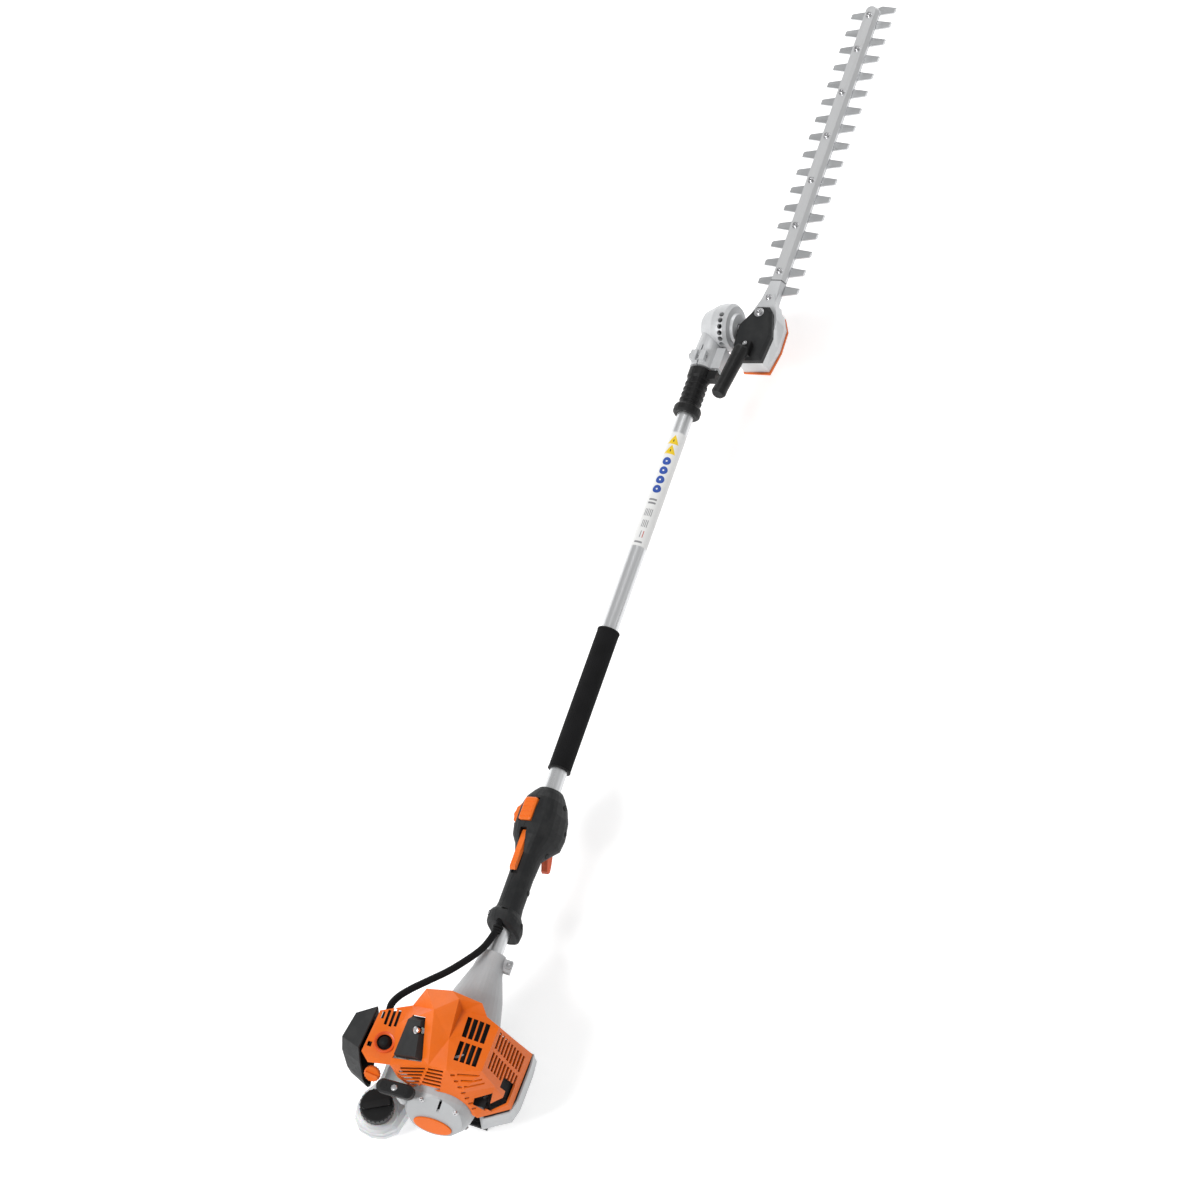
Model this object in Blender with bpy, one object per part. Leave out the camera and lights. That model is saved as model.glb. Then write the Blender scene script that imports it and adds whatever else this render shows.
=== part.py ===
"""Pole hedge trimmer: petrol engine, drive tube with control handle, and a swivelling cutter head.

Shapes are drawn in millimetres in three working frames and become metres when a mesh is made.
  engine_frame  on the crank axis above the stand, +X towards the cutter, +Y left, +Z up
  handle_frame  on the tube, rolled about it so that +Z runs out through the lockout lever
  head_frame    on the swivel axis, rolled about the tube so that +Z is the blade's upper side
"""
import math

import bmesh
import bpy
from mathutils import Matrix, Vector

MM = 0.001
GAP = 0.4                # running gap between neighbouring solids
X, Y, Z = Vector((1, 0, 0)), Vector((0, 1, 0)), Vector((0, 0, 1))

AXIS_HEIGHT = 110.0      # crank axis above the ground
HANDLE_X = 288.0         # middle of the control handle
HANDLE_ROLL = -36.0      # degrees about the tube
PIVOT_X = 1185.0         # swivel axis of the cutter head
HEAD_ROLL = -27.0        # degrees about the tube

TUBE_R = 12.7
TUBE_BORE_R = 11.2
TUBE_START = 101.0
TUBE_END = PIVOT_X - 55.0
SHAFT_R = 4.0
CLAMP_R = TUBE_R + 0.35  # bore of everything that slides on or clamps round the tube

STARTER_R = 49.5
FLYWHEEL_R = 43.0
PISTON_R = 18.8
CRANK_THROW = 16.0
PULLEY_R = 26.0
CHOKE_AXIS = Vector((-0.66, 0.06, 0.75)).normalized()
TANK_CAP = (-92.0, 83.0)         # centre of the filler, x and y
GRIP_CENTRE = Vector((-77, 57, 52))
PULL = Vector((0, 0.26, 0.966)).normalized()

BLADE_Y = -67.0          # blade centre line from the tube axis, in head_frame
BAR_TOP, BAR_BASE = -8.0, -17.8
BAR_START, BAR_END = 93.5, 626.0
BLADE_THICKNESS = 2.2
UPPER_BLADE_TOP = BAR_BASE - GAP
LOWER_BLADE_TOP = UPPER_BLADE_TOP - BLADE_THICKNESS - GAP
TOOTH_PITCH = 34.0
FIRST_TOOTH = 82.5
TOOTH_STAGGER = 18.7     # the left row stands this far ahead of the right row
LAST_TOOTH = 621.5       # the end tooth is set back to the tip of the bar
RIGHT_TEETH, LEFT_TEETH = 17, 16
TOOTH_REACH = 36.5       # from the centre line to the tooth's tip
INDEX_STEP = 15.0        # degrees between two locking holes of the index ring
BOLT_Y = -24.0           # lock bolt beside the tube axis, in head_frame

SMOOTH_ANGLE = math.radians(35)

COLOURS = {              # name: colour, roughness, metallic
    "orange": ((0.9, 0.22, 0.02), 0.4, 0.0),
    "dark": ((0.03, 0.032, 0.034), 0.5, 0.0),
    "black": ((0.01, 0.01, 0.01), 0.6, 0.0),
    "light": ((0.62, 0.63, 0.64), 0.45, 0.0),
    "silver": ((0.7, 0.71, 0.72), 0.35, 0.8),
    "steel": ((0.55, 0.56, 0.58), 0.3, 1.0),
    "casting": ((0.5, 0.51, 0.52), 0.5, 0.7),
    "tank": ((0.85, 0.86, 0.86), 0.3, 0.0),
    "foam": ((0.015, 0.015, 0.016), 0.9, 0.0),
}


# ---------------------------------------------------------------- scene and materials

def clear_scene():
    for thing in list(bpy.data.objects):
        bpy.data.objects.remove(thing, do_unlink=True)


def finish(node, look):
    """A material of the node's own, in one of the named looks."""
    colour, roughness, metallic = COLOURS[look]
    material = bpy.data.materials.new(node)
    material.use_nodes = True
    shader = material.node_tree.nodes["Principled BSDF"]
    shader.inputs["Base Color"].default_value = (*colour, 1.0)
    shader.inputs["Roughness"].default_value = roughness
    shader.inputs["Metallic"].default_value = metallic
    return material


def working_frame(name, x, roll):
    empty = bpy.data.objects.new(name, None)
    bpy.context.collection.objects.link(empty)
    empty.location = (x * MM, 0.0, AXIS_HEIGHT * MM)
    empty.rotation_euler = (math.radians(roll), 0.0, 0.0)
    return empty


# ---------------------------------------------------------------- shapes: (points, faces)

def basis(direction):
    """Two unit vectors square to a direction."""
    along = Vector(direction).normalized()
    side = Z.cross(along) if abs(along.z) < 0.9 else X.cross(along)
    side.normalize()
    return side, along.cross(side)


def circle(count, start=0.0):
    return [start + 2 * math.pi * k / count for k in range(count)]


def turned(profile, origin=(0, 0, 0), direction=X, count=32, teeth=0, depth=0.0, twist=0.0):
    """Revolve (distance along, radius) points; a profile off the axis closes into a ring."""
    along = Vector(direction).normalized()
    side, up = basis(along)
    angles = circle(4 * teeth if teeth else count, twist)
    points, rings = [], []
    for distance, radius in profile:
        centre = Vector(origin) + along * distance
        if radius == 0:
            rings.append([len(points)])
            points.append(centre)
            continue
        rings.append(list(range(len(points), len(points) + len(angles))))
        for k, angle in enumerate(angles):
            cut = depth if teeth and k % 4 > 1 and radius > 2 * depth + SHAFT_R + 1 else 0.0
            reach = radius - cut
            points.append(centre + side * math.cos(angle) * reach + up * math.sin(angle) * reach)
    pairs = list(zip(rings, rings[1:]))
    if profile[0][1] > 0 and profile[-1][1] > 0:
        pairs.append((rings[-1], rings[0]))
    return points, [face for a, b in pairs for face in band(a, b)]


def band(a, b):
    """The faces between two rings, either of which may be a single point."""
    if len(a) == 1 and len(b) == 1:
        return []
    count = max(len(a), len(b))
    faces = []
    for k in range(count):
        n = (k + 1) % count
        if len(a) == 1:
            faces.append((a[0], b[k], b[n]))
        elif len(b) == 1:
            faces.append((a[k], a[n], b[0]))
        else:
            faces.append((a[k], a[n], b[n], b[k]))
    return faces


def loft(rings):
    """A solid through rings of equal length, closed at both ends."""
    size = len(rings[0])
    points = [Vector(p) for ring in rings for p in ring]
    faces = []
    for start in range(0, size * (len(rings) - 1), size):
        a = list(range(start, start + size))
        faces += band(a, [k + size for k in a])
    faces.append(tuple(range(size)))
    faces.append(tuple(range(len(points) - size, len(points))))
    return points, faces


def prism(outline, low, high, axis="Z"):
    """An outline pushed along an axis; its points are the other two coordinates in order."""
    order = {"X": lambda a, b, c: (c, a, b), "Y": lambda a, b, c: (a, c, b), "Z": lambda a, b, c: (a, b, c)}
    place = order[axis]
    return loft([[place(a, b, level) for a, b in outline] for level in (low, high)])


def box(x, y, z):
    return prism([(x[0], y[0]), (x[1], y[0]), (x[1], y[1]), (x[0], y[1])], *z)


def slit(start, end, normal, width, depth):
    """A box along a line, centred on it, its depth across the surface with that normal."""
    start, end = Vector(start), Vector(end)
    normal = Vector(normal).normalized()
    across = (end - start).normalized().cross(normal).normalized() * width / 2
    rings = []
    for point in (start, end):
        rings.append([point + across + normal * depth, point - across + normal * depth,
                      point - across - normal * depth, point + across - normal * depth])
    return loft(rings)


def rounded(outline, radius, steps=4):
    """A 2-D outline with its corners turned into arcs."""
    result = []
    count = len(outline)
    for k in range(count):
        here = Vector(outline[k])
        back = (Vector(outline[k - 1]) - here).normalized()
        ahead = (Vector(outline[(k + 1) % count]) - here).normalized()
        half = back.angle(ahead) / 2
        setback = radius / math.tan(half)
        centre = here + (back + ahead).normalized() * radius / math.sin(half)
        first, last = here + back * setback - centre, here + ahead * setback - centre
        for step in range(steps + 1):
            spoke = first.lerp(last, step / steps).normalized() * radius
            result.append(tuple(centre + spoke))
    return result


def inset(outline, amount):
    """Move every side of a 2-D outline inwards; its points run anticlockwise."""
    result = []
    count = len(outline)
    for k in range(count):
        here = Vector(outline[k])
        back = (here - Vector(outline[k - 1])).normalized()
        ahead = (Vector(outline[(k + 1) % count]) - here).normalized()
        left = (Vector((-back.y, back.x)) + Vector((-ahead.y, ahead.x))).normalized()
        lean = max(0.3, left.dot(Vector((-ahead.y, ahead.x))))
        result.append(tuple(here + left * amount / lean))
    return result


def stacked(outline, levels):
    """An upright solid through (height, inset) levels of one outline."""
    return loft([[(a, b, height) for a, b in inset(outline, amount)] for height, amount in levels])


def together(*shapes):
    points, faces = [], []
    for more_points, more_faces in shapes:
        base = len(points)
        points += more_points
        faces += [tuple(base + k for k in face) for face in more_faces]
    return points, faces


# ---------------------------------------------------------------- objects

def raw_object(name, shape, frame, pivot=(0, 0, 0)):
    points, faces = shape
    mesh = bpy.data.meshes.new(name)
    origin = Vector(pivot)
    mesh.from_pydata([(Vector(p) - origin) * MM for p in points], [], faces)
    work = bmesh.new()
    work.from_mesh(mesh)
    bmesh.ops.recalc_face_normals(work, faces=work.faces)
    work.to_mesh(mesh)
    work.free()
    thing = bpy.data.objects.new(name, mesh)
    bpy.context.collection.objects.link(thing)
    thing.parent = frame
    thing.location = origin * MM
    return thing


def node(name, shape, look, frame, pivot=(0, 0, 0)):
    """A sub-part; pivot is the point of the frame that its origin, and its joint, is on."""
    thing = raw_object(name, shape, frame, pivot)
    thing.data.shade_smooth()
    thing.data.set_sharp_from_angle(angle=SMOOTH_ANGLE)
    thing.data.materials.append(finish(name, look))
    return thing


def boolean(thing, shape, operation):
    number = len(thing.modifiers)
    tool = raw_object(f"{thing.name}.tool{number}", shape, thing.parent)
    tool.hide_render = True
    tool.display_type = "WIRE"
    modifier = thing.modifiers.new(f"{operation.lower()}{number}", "BOOLEAN")
    modifier.operation = operation
    modifier.object = tool
    return tool


def carve(thing, *shapes):
    return boolean(thing, together(*shapes), "DIFFERENCE")


def add(thing, shape):
    return boolean(thing, shape, "UNION")


def thicken(thing, thickness):
    modifier = thing.modifiers.new("wall", "SOLIDIFY")
    modifier.thickness = thickness * MM
    modifier.offset = -1.0


# ---------------------------------------------------------------- engine: inside

def crank_train(frame):
    case = turned([(-34, 9), (-34, 40), (34, 40), (34, 9), (28, 9), (28, 33), (-28, 33), (-28, 9)])
    crankcase = node("crankcase", case, "casting", frame)
    add(crankcase, box((-31, 31), (-30, 30), (24, 41)))
    carve(crankcase, turned([(-27.5, 0), (-27.5, 32.5), (27.5, 32.5), (27.5, 0)], count=32))
    carve(crankcase, turned([(10, 0), (10, 20), (50, 20), (50, 0)], direction=Z, count=24))
    carve(crankcase, box((-60, 60), (-60, 60), (38, 60)))

    web = 30.0
    rear = [(-64, 0), (-64, 8), (-24, 8), (-24, web), (-8, web), (-8, 0)]
    node("crankshaft_rear", turned(rear, count=24), "steel", frame)
    front = [(8, 0), (8, web), (24, web), (24, 8), (58, 8), (58, 0)]
    node("crankshaft_front", turned(front, count=24), "steel", frame)
    pin = turned([(-7.5, 0), (-7.5, 6), (7.5, 6), (7.5, 0)], (0, 0, CRANK_THROW), count=16)
    node("crank_pin", pin, "steel", frame)

    small_end = CRANK_THROW + 40
    rod = turned([(-5, 6.4), (-5, 10), (5, 10), (5, 6.4)], (0, 0, CRANK_THROW), count=20)
    connecting_rod = node("connecting_rod", rod, "steel", frame)
    add(connecting_rod, turned([(-5, 4.4), (-5, 7.5), (5, 7.5), (5, 4.4)], (0, 0, small_end), count=16))
    add(connecting_rod, box((-2, 2), (-4, 4), (CRANK_THROW + 8, small_end - 6)))
    wrist = turned([(-16, 0), (-16, 4), (16, 4), (16, 0)], (0, 0, small_end), count=12)
    node("piston_pin", wrist, "steel", frame)
    crown = [(47, 15.5), (47, PISTON_R), (72, PISTON_R), (74, 16), (74, 0), (69, 0), (69, 15.5)]
    piston = node("piston", turned(crown, direction=Z, count=24), "silver", frame)
    carve(piston, turned([(-30, 0), (-30, 4.4), (30, 4.4), (30, 0)], (0, 0, small_end), count=12))


def cylinder(frame):
    profile = [(76, 0), (76, 19.2), (38.4, 19.2), (38.4, 24)]
    for fin in range(3):
        height = 43 + 12 * fin
        profile += [(height, 23), (height, 30), (height + 3, 30), (height + 3, 23)]
    profile += [(80, 20), (80, 0)]
    barrel = node("cylinder", turned(profile, direction=Z, count=20), "casting", frame)
    seat, lean = Vector((0, 14, 70)), Vector((-0.2, 0.9, 0.3))
    carve(barrel, turned([(-14, 0), (-14, 5.3), (9, 5.3), (9, 10.5), (40, 10.5), (40, 0)], seat, lean, 16))
    plug = [(7, 0), (7, 4.6), (10, 4.6), (11.6, 8), (15, 8), (16, 4.6), (21, 3.6), (21, 2.4), (24, 2.4), (24, 0)]
    node("spark_plug", turned(plug, seat, lean, 12), "steel", frame)


def flywheel_and_clutch(frame):
    wheel = [(-62, 8.4), (-62, 30), (-60, FLYWHEEL_R), (-46, FLYWHEEL_R), (-44, 30), (-44, 8.4)]
    node("flywheel", turned(wheel, teeth=10, depth=7.0), "silver", frame)
    module = box((-58, -46), (-60, -44.5), (1, 24))
    node("ignition_module", module, "black", frame)

    hub = [(44, 8.4), (44, 27.5), (57, 27.5), (57, 8.4)]
    shoes = node("clutch_shoes", turned(hub, count=24), "casting", frame)
    carve(shoes, box((40, 60), (-1.5, 1.5), (13, 40)), box((40, 60), (-1.5, 1.5), (-40, -13)))
    drum = [(42, 29), (42, 31.5), (63, 31.5), (63, 9), (74, 9), (74, 4.4), (66, 4.4), (66, 0), (60, 0), (60, 29)]
    node("clutch_drum", turned(drum, count=24), "steel", frame)


# ---------------------------------------------------------------- engine: casings

def clutch_housing(frame):
    outer = [(36, 47), (42, 46.5), (64, 41), (89, 35), (126, 22), (140, 19.5), (152, 18.5)]
    inner = [(152, CLAMP_R), (100, CLAMP_R), (100, 19), (82, 30), (66, 35), (36, 42)]
    housing = node("clutch_housing", turned(outer + inner, count=32), "light", frame)
    add(housing, box((132, 149), (-30, -15), (-7.5, 7.5)))
    carve(housing, box((118, 160), (-40, -10), (-1.2, 1.2)))
    carve(housing, turned([(-20, 0), (-20, 2.9), (20, 2.9), (20, 0)], (140, -25, 0), Z, 12))
    screw = [(-7.4, 0), (-7.4, 2.5), (7.9, 2.5), (7.9, 4.6), (12.5, 4.6), (12.5, 2.4), (10.5, 2.0), (10.5, 0)]
    node("tube_clamp_screw", turned(screw, (140, -25, 0), Z, 12), "steel", frame)


def starter(frame):
    outer = [(-58, STARTER_R), (-68, STARTER_R), (-78, 47), (-90, 41), (-101, 29), (-106, 14), (-107, 0)]
    inner = [(-68, 0), (-68, 5.5), (-79, 5.5), (-79, 30), (-68, 33), (-64, 46), (-58, 46)]
    dome = node("starter_housing", turned(outer + inner, count=36), "light", frame)
    lean = math.radians(27)
    facing = Vector((-math.cos(lean), 0, math.sin(lean)))
    face_at = Vector((-98, 0, -4))
    slab = facing * 20
    carve(dome, slit(face_at + slab - Y * 60, face_at + slab + Y * 60, facing, 160, 20))
    guide = GRIP_CENTRE - PULL * 14
    add(dome, turned([(-26, 0), (-26, 9), (-4, 7.5), (0, 6), (0, 0)], guide, PULL, 16))
    carve(dome, turned([(-22, 0), (-22, 2.6), (2, 2.6), (2, 0)], guide, PULL, 10))
    channel_from = Vector((-71.5, 22, -4))
    channel_to = guide - PULL * 20
    reach = channel_to - channel_from
    carve(dome, turned([(0, 0), (0, 2.6), (reach.length + 1, 2.6), (reach.length + 1, 0)], channel_from, reach, 10))
    vents = [slit((-70, 42 * math.cos(a), 42 * math.sin(a)), (-86, 36 * math.cos(a), 36 * math.sin(a)),
                  (0, math.cos(a), math.sin(a)), 3.5, 12) for a in map(math.radians, (96, -18, -60, 204, 240, 276))]
    carve(dome, *vents)

    side, up = Y, facing.cross(Y)
    if up.z < 0:
        up = -up
    oval = []
    for lift, grow in ((0.4, 1.0), (1.8, 1.0), (2.3, 0.95)):
        centre = face_at + facing * lift + up * 3
        oval.append([centre + side * 27 * grow * math.cos(a) + up * 14 * grow * math.sin(a) for a in circle(32)])
    node("starter_badge", loft(oval), "orange", frame)

    groove = [(-76.5, 6), (-76.5, PULLEY_R), (-74.5, PULLEY_R), (-73, 21), (-70, 21), (-68.5, PULLEY_R),
              (-66.5, PULLEY_R), (-66.5, 6)]
    node("rope_pulley", turned(groove, count=28), "black", frame)


def starter_pull(frame):
    across = (Y - PULL * PULL.y).normalized()
    front = across.cross(PULL)
    rings = []
    for height, grow in ((-7, 0.8), (-5, 1.0), (4, 1.0), (7, 0.78)):
        outline = rounded([(-27 * grow, -9.5 * grow), (27 * grow, -9.5 * grow),
                           (27 * grow, 9.5 * grow), (-27 * grow, 9.5 * grow)], 8.5 * grow, 4)
        rings.append([GRIP_CENTRE + across * a + front * b + PULL * height for a, b in outline])
    grip = node("starter_grip", loft(rings), "black", frame, GRIP_CENTRE)
    carve(grip, turned([(-12, 0), (-12, 2.3), (3, 2.3), (3, 0)], GRIP_CENTRE, PULL, 10))

    guide = GRIP_CENTRE - PULL * 14
    bend = guide - PULL * 19.4
    start = Vector((-71.5, 22, -4)) + (bend - Vector((-71.5, 22, -4))).normalized() * 6.5
    route = [start, bend - (bend - start) * 0.12, bend + PULL * 2.5, GRIP_CENTRE + PULL * 2.4]
    tube_along("starter_rope", route, 1.6, "light", frame)


def tube_along(name, route, radius, look, frame):
    """A round cord on a smooth curve through a route's points."""
    curve = bpy.data.curves.new(name, "CURVE")
    curve.dimensions = "3D"
    curve.bevel_depth = radius * MM
    curve.bevel_resolution = 1
    curve.use_fill_caps = True
    points = smooth_route(route, 4)
    spline = curve.splines.new("POLY")
    spline.points.add(len(points) - 1)
    for slot, point in zip(spline.points, points):
        slot.co = (*(Vector(point) * MM), 1.0)
    thing = bpy.data.objects.new(name, curve)
    bpy.context.collection.objects.link(thing)
    thing.parent = frame
    curve.materials.append(finish(name, look))
    return thing


def smooth_route(route, steps):
    """Points of a Catmull-Rom curve through a route."""
    route = [Vector(p) for p in route]
    padded = [route[0] * 2 - route[1]] + route + [route[-1] * 2 - route[-2]]
    points = []
    for a, b, c, d in zip(padded, padded[1:], padded[2:], padded[3:]):
        for step in range(steps):
            t = step / steps
            points.append(0.5 * (2 * b + (c - a) * t + (2 * a - 5 * b + 4 * c - d) * t * t
                                 + (3 * b - a - 3 * c + d) * t ** 3))
    return points + [route[-1]]


SHROUD = {               # corners of the engine cover's outer surface
    "hump_left": (50, 56, 116), "hump_top": (57, 22, 121), "hump_right": (56, -20, 110),
    "ridge_top": (50, 10, 119), "ridge_foot": (1, 8, 90), "step_left": (41, 4, 96), "step_right": (45, -30, 92),
    "shoulder": (28, 38, 108), "rear_mid": (-38, 24, 75), "rear_left": (-46, 77, 40), "ladder_top": (-38, -2, 86),
    "deck_front": (38, 74, 50), "deck_mid": (8, 87, 46), "deck_far": (20, 115, 39), "deck_out": (-40, 120, 38),
    "deck_rear": (-50, 108, 30), "low_left": (-54, 65, 18), "arc_left": (-66, 33, 30), "arc_top": (-66, 4, 44),
    "arc_right": (-69, -30, 28), "ladder_mid": (-54, -29, 55), "tip": (-71, -55, 12), "side_top": (-25, -47, 88),
    "side_mid": (-32, -67, 50), "corner_low": (-43, -93, 0), "front_low": (37, -96, 0), "front_side": (39, -49, 85),
    "front_step": (38, -68, 50), "front_mid": (44, 0, 50),
}
SHROUD_FACES = [
    ("hump_left", "hump_top", "ridge_top", "ridge_foot", "shoulder"),
    ("shoulder", "ridge_foot", "ladder_top", "rear_mid"),
    ("ridge_top", "step_left", "ridge_foot"),
    ("ridge_top", "hump_top", "hump_right", "step_right", "step_left"),
    ("step_left", "step_right", "front_side", "side_top", "ladder_top", "ridge_foot"),
    ("hump_left", "shoulder", "deck_mid", "deck_front"),
    ("shoulder", "rear_mid", "rear_left", "deck_mid"),
    ("deck_front", "deck_mid", "rear_left", "deck_rear", "deck_out", "deck_far"),
    ("rear_left", "rear_mid", "arc_left", "low_left"),
    ("rear_mid", "ladder_top", "arc_top", "arc_left"),
    ("ladder_top", "ladder_mid", "arc_right", "arc_top"),
    ("ladder_mid", "tip", "arc_right"),
    ("ladder_top", "side_top", "side_mid", "corner_low", "tip", "ladder_mid"),
    ("front_side", "front_step", "front_low", "corner_low", "side_mid", "side_top"),
    ("deck_front", "hump_left", "hump_top", "hump_right", "step_right", "front_side", "front_step", "front_mid"),
]
PLUG_CORNERS = [(20, 67, 70), (17, 48, 92), (-34, 36, 69), (-36, 77, 44)]
PLUG_NORMAL = Vector((-0.35, 0.58, 0.735)).normalized()


def plug_block(low, high, grow, taper=1.0):
    """The plug cover's block between two lifts off the shroud, scaled at its rim and at its top."""
    corners = [Vector(c) for c in PLUG_CORNERS]
    middle = sum(corners, Vector((0, 0, 0))) / 4
    corners = [c - PLUG_NORMAL * (c - middle).dot(PLUG_NORMAL) for c in corners]
    rings = []
    for lift, scale in ((low, grow), (high, grow * taper)):
        rings.append([middle + (c - middle) * scale + PLUG_NORMAL * lift for c in corners])
    return loft(rings)


def lerp(a, b, t):
    return Vector(SHROUD[a]).lerp(Vector(SHROUD[b]), t)


def shroud_slots():
    """Every vent of the engine cover."""
    slots = []
    for row_start, row_end in ((10, 37), (-23, 4)):
        for k in range(4):
            y = -9.5 - 8.4 * k
            slots.append(box((row_start, row_end), (y - 3.1, y + 3.1), (70, 120)))
    slope = Vector(SHROUD["front_low"]) - Vector(SHROUD["front_side"])
    outward = slope.cross(X).normalized()
    for row_start, row_end in ((11, 34), (-17, 6)):
        for k in range(9):
            spot = Vector(SHROUD["front_side"]) + slope * (0.1 + 0.09 * k)
            start, end = spot.copy(), spot.copy()
            start.x, end.x = row_start - 0.8 * k, row_end - 0.8 * k
            slots.append(slit(start, end, outward, 4.8, 8))
    rear = Vector((-0.72, 0.1, 0.69))
    along = (Vector(SHROUD["rear_left"]) - Vector(SHROUD["rear_mid"])).normalized()
    for k in range(6):
        t = 0.13 + 0.126 * k
        left = lerp("rear_mid", "arc_left", t) + along * min(44, 109 - 117 * t)
        middle = lerp("rear_mid", "arc_left", t)
        right = lerp("ladder_top", "arc_top", t) + Vector((0, 3 - k, 0))
        slots.append(slit(left, middle.lerp(left, 0.06), rear, 3.0, 7))
        slots.append(slit(middle.lerp(right, 0.08), right, rear, 3.2, 7))
    for k in range(7):
        spot = lerp("ladder_top", "tip", 0.1 + 0.115 * k)
        slots.append(slit(spot + Vector((-1, -1.5, 0)), spot + Vector((1, -7, 0)), (-0.8, -0.3, 0.5), 3.4, 7))
    for k in range(3):
        height = 79 - 8.5 * k
        slots.append(slit((-34 - 4 * k, -16 - 6 * k, height), (-27 - 3 * k, -45 - 4 * k, height),
                          (-0.95, -0.25, 0.2), 3.4, 10))
    for y, start, end in ((88, 4, 27), (95, 2, 28), (102, 3, 24), (109, 10, 20)):
        slots.append(box((start, end), (y - 2, y + 2), (25, 60)))
    slots.append(box((-31, -24), (110, 116), (25, 60)))
    return slots


def shroud(frame):
    names = list(SHROUD)
    faces = [tuple(names.index(name) for name in face) for face in SHROUD_FACES]
    cover = node("engine_shroud", ([Vector(p) for p in SHROUD.values()], faces), "orange", frame)
    work = bmesh.new()
    work.from_mesh(cover.data)
    bmesh.ops.triangulate(work, faces=work.faces)
    top = max(work.faces, key=lambda face: face.calc_center_median().z)
    if top.normal.z < 0:
        bmesh.ops.reverse_faces(work, faces=work.faces)
    work.to_mesh(cover.data)
    work.free()
    cover.data.set_sharp_from_angle(angle=math.radians(8))
    thicken(cover, 2.4)
    carve(cover, *shroud_slots())
    carve(cover, turned([(-100, 0), (-100, STARTER_R + 0.8), (-30, STARTER_R + 0.8), (-30, 0)], count=48))
    carve(cover, turned([(20, 0), (20, 48), (80, 48), (80, 0)], count=32))
    carve(cover, plug_block(-16, 14, 1.04))
    carve(cover, turned([(25, 0), (25, 10.8), (60, 10.8), (60, 0)], (-20, 94, 0), Z, 20))
    carve(cover, box((-60, -36), (-66, -45), (18, 42)), box((-28, -13), (-110, -60), (12, 40)))
    carve(cover, box((-57, -13.5), (-110, -58), (11, 26)))

    screw_at = Vector((0, 52, 86))
    plug = node("plug_cover", plug_block(-5, 6, 1.0, 0.84), "dark", frame)
    carve(plug, turned([(-12, 0), (-12, 5.6), (14, 5.6), (14, 0)], screw_at, PLUG_NORMAL, 16))
    screw = [(-6, 0), (-6, 2.5), (0, 2.5), (0, 4.8), (4, 4.8), (4.6, 3.6), (4.6, 0)]
    node("plug_cover_screw", turned(screw, screw_at, PLUG_NORMAL, 14), "steel", frame)


def lower_casings(frame):
    outline = [(40, -52), (-52, -52), (-68, -61), (-48, -93), (-30, -98), (20, -99.5), (38, -98)]
    levels = ((-1.6, 0.0), (-28, 1.0), (-50, 3.0), (-62, -2.0))
    rings = [[(a, b, height) for a, b in inset(outline, -amount)] for height, amount in levels]
    size = len(outline)
    points = [Vector(p) for ring in rings for p in ring]
    faces = []
    for start in range(0, size * 3, size):
        a = list(range(start, start + size))
        faces += band(a, [k + size for k in a])
    faces.append(tuple(range(size * 3, size * 4)))
    tray = node("lower_housing", (points, faces), "light", frame)
    thicken(tray, 2.4)
    carve(tray, box((-28, 28), (-60, -44), (-20, 10)))

    body = prism([(-43, -18), (-43, 42), (-60, 42), (-80, 2), (-82, -18)], -26, 26, "X")
    muffler = node("muffler", body, "black", frame)
    add(muffler, box((-12, 12), (-52, -32), (34, 60)))
    carve(muffler, turned([(-20, 0), (-20, 6), (20, 6), (20, 0)], (26, -64, 0), X, 12))

    foot = node("stand_foot", box((-60, 60), (-62, 62), (-110, -102)), "black", frame)
    add(foot, box((-30, 30), (-62, -50), (-104, -66)))
    carve(foot, *[box((x, x + 10), (-46, 46), (-106, -100)) for x in (-48, -30, 20, 38)])


def fuel_system(frame):
    corners = [(-120, 101), (-123, 84), (-119, 66), (-106, 51), (-60, 40), (-44, -28), (46, -28), (46, 92),
                       (-50, 96), (-72, 110), (-90, 114), (-108, 111)]
    outline = list(rounded(corners, 5, 2))
    tank = node("fuel_tank", stacked(outline, ((-100, 6), (-94, 0), (-58, 0), (-50, 6))), "tank", frame)
    centre = (*TANK_CAP, 0)
    add(tank, turned([(-54, 0), (-54, 30), (-47, 28), (-43, 18), (-34, 18), (-34, 0)], centre, Z, 32))
    carve(tank, stacked(corners, ((-97, 8), (-92, 3), (-60, 3), (-53, 8))))
    carve(tank, turned([(-60, 0), (-60, 15), (-30, 15), (-30, 0)], centre, Z, 24))

    skirt = [(-40, 19), (-40, 22.5), (-18, 22.5), (-16, 21), (-16, 0), (-30, 0), (-30, 19)]
    cap = node("fuel_cap", turned(skirt, centre, Z, 36), "black", frame, centre)
    bar = prism(rounded([(-19, -4.5), (19, -4.5), (19, 4.5), (-19, 4.5)], 3, 2), -17, -8)
    points = [Matrix.Rotation(math.radians(-62), 3, "Z") @ p + Vector(centre) for p in bar[0]]
    add(cap, (points, bar[1]))


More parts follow.
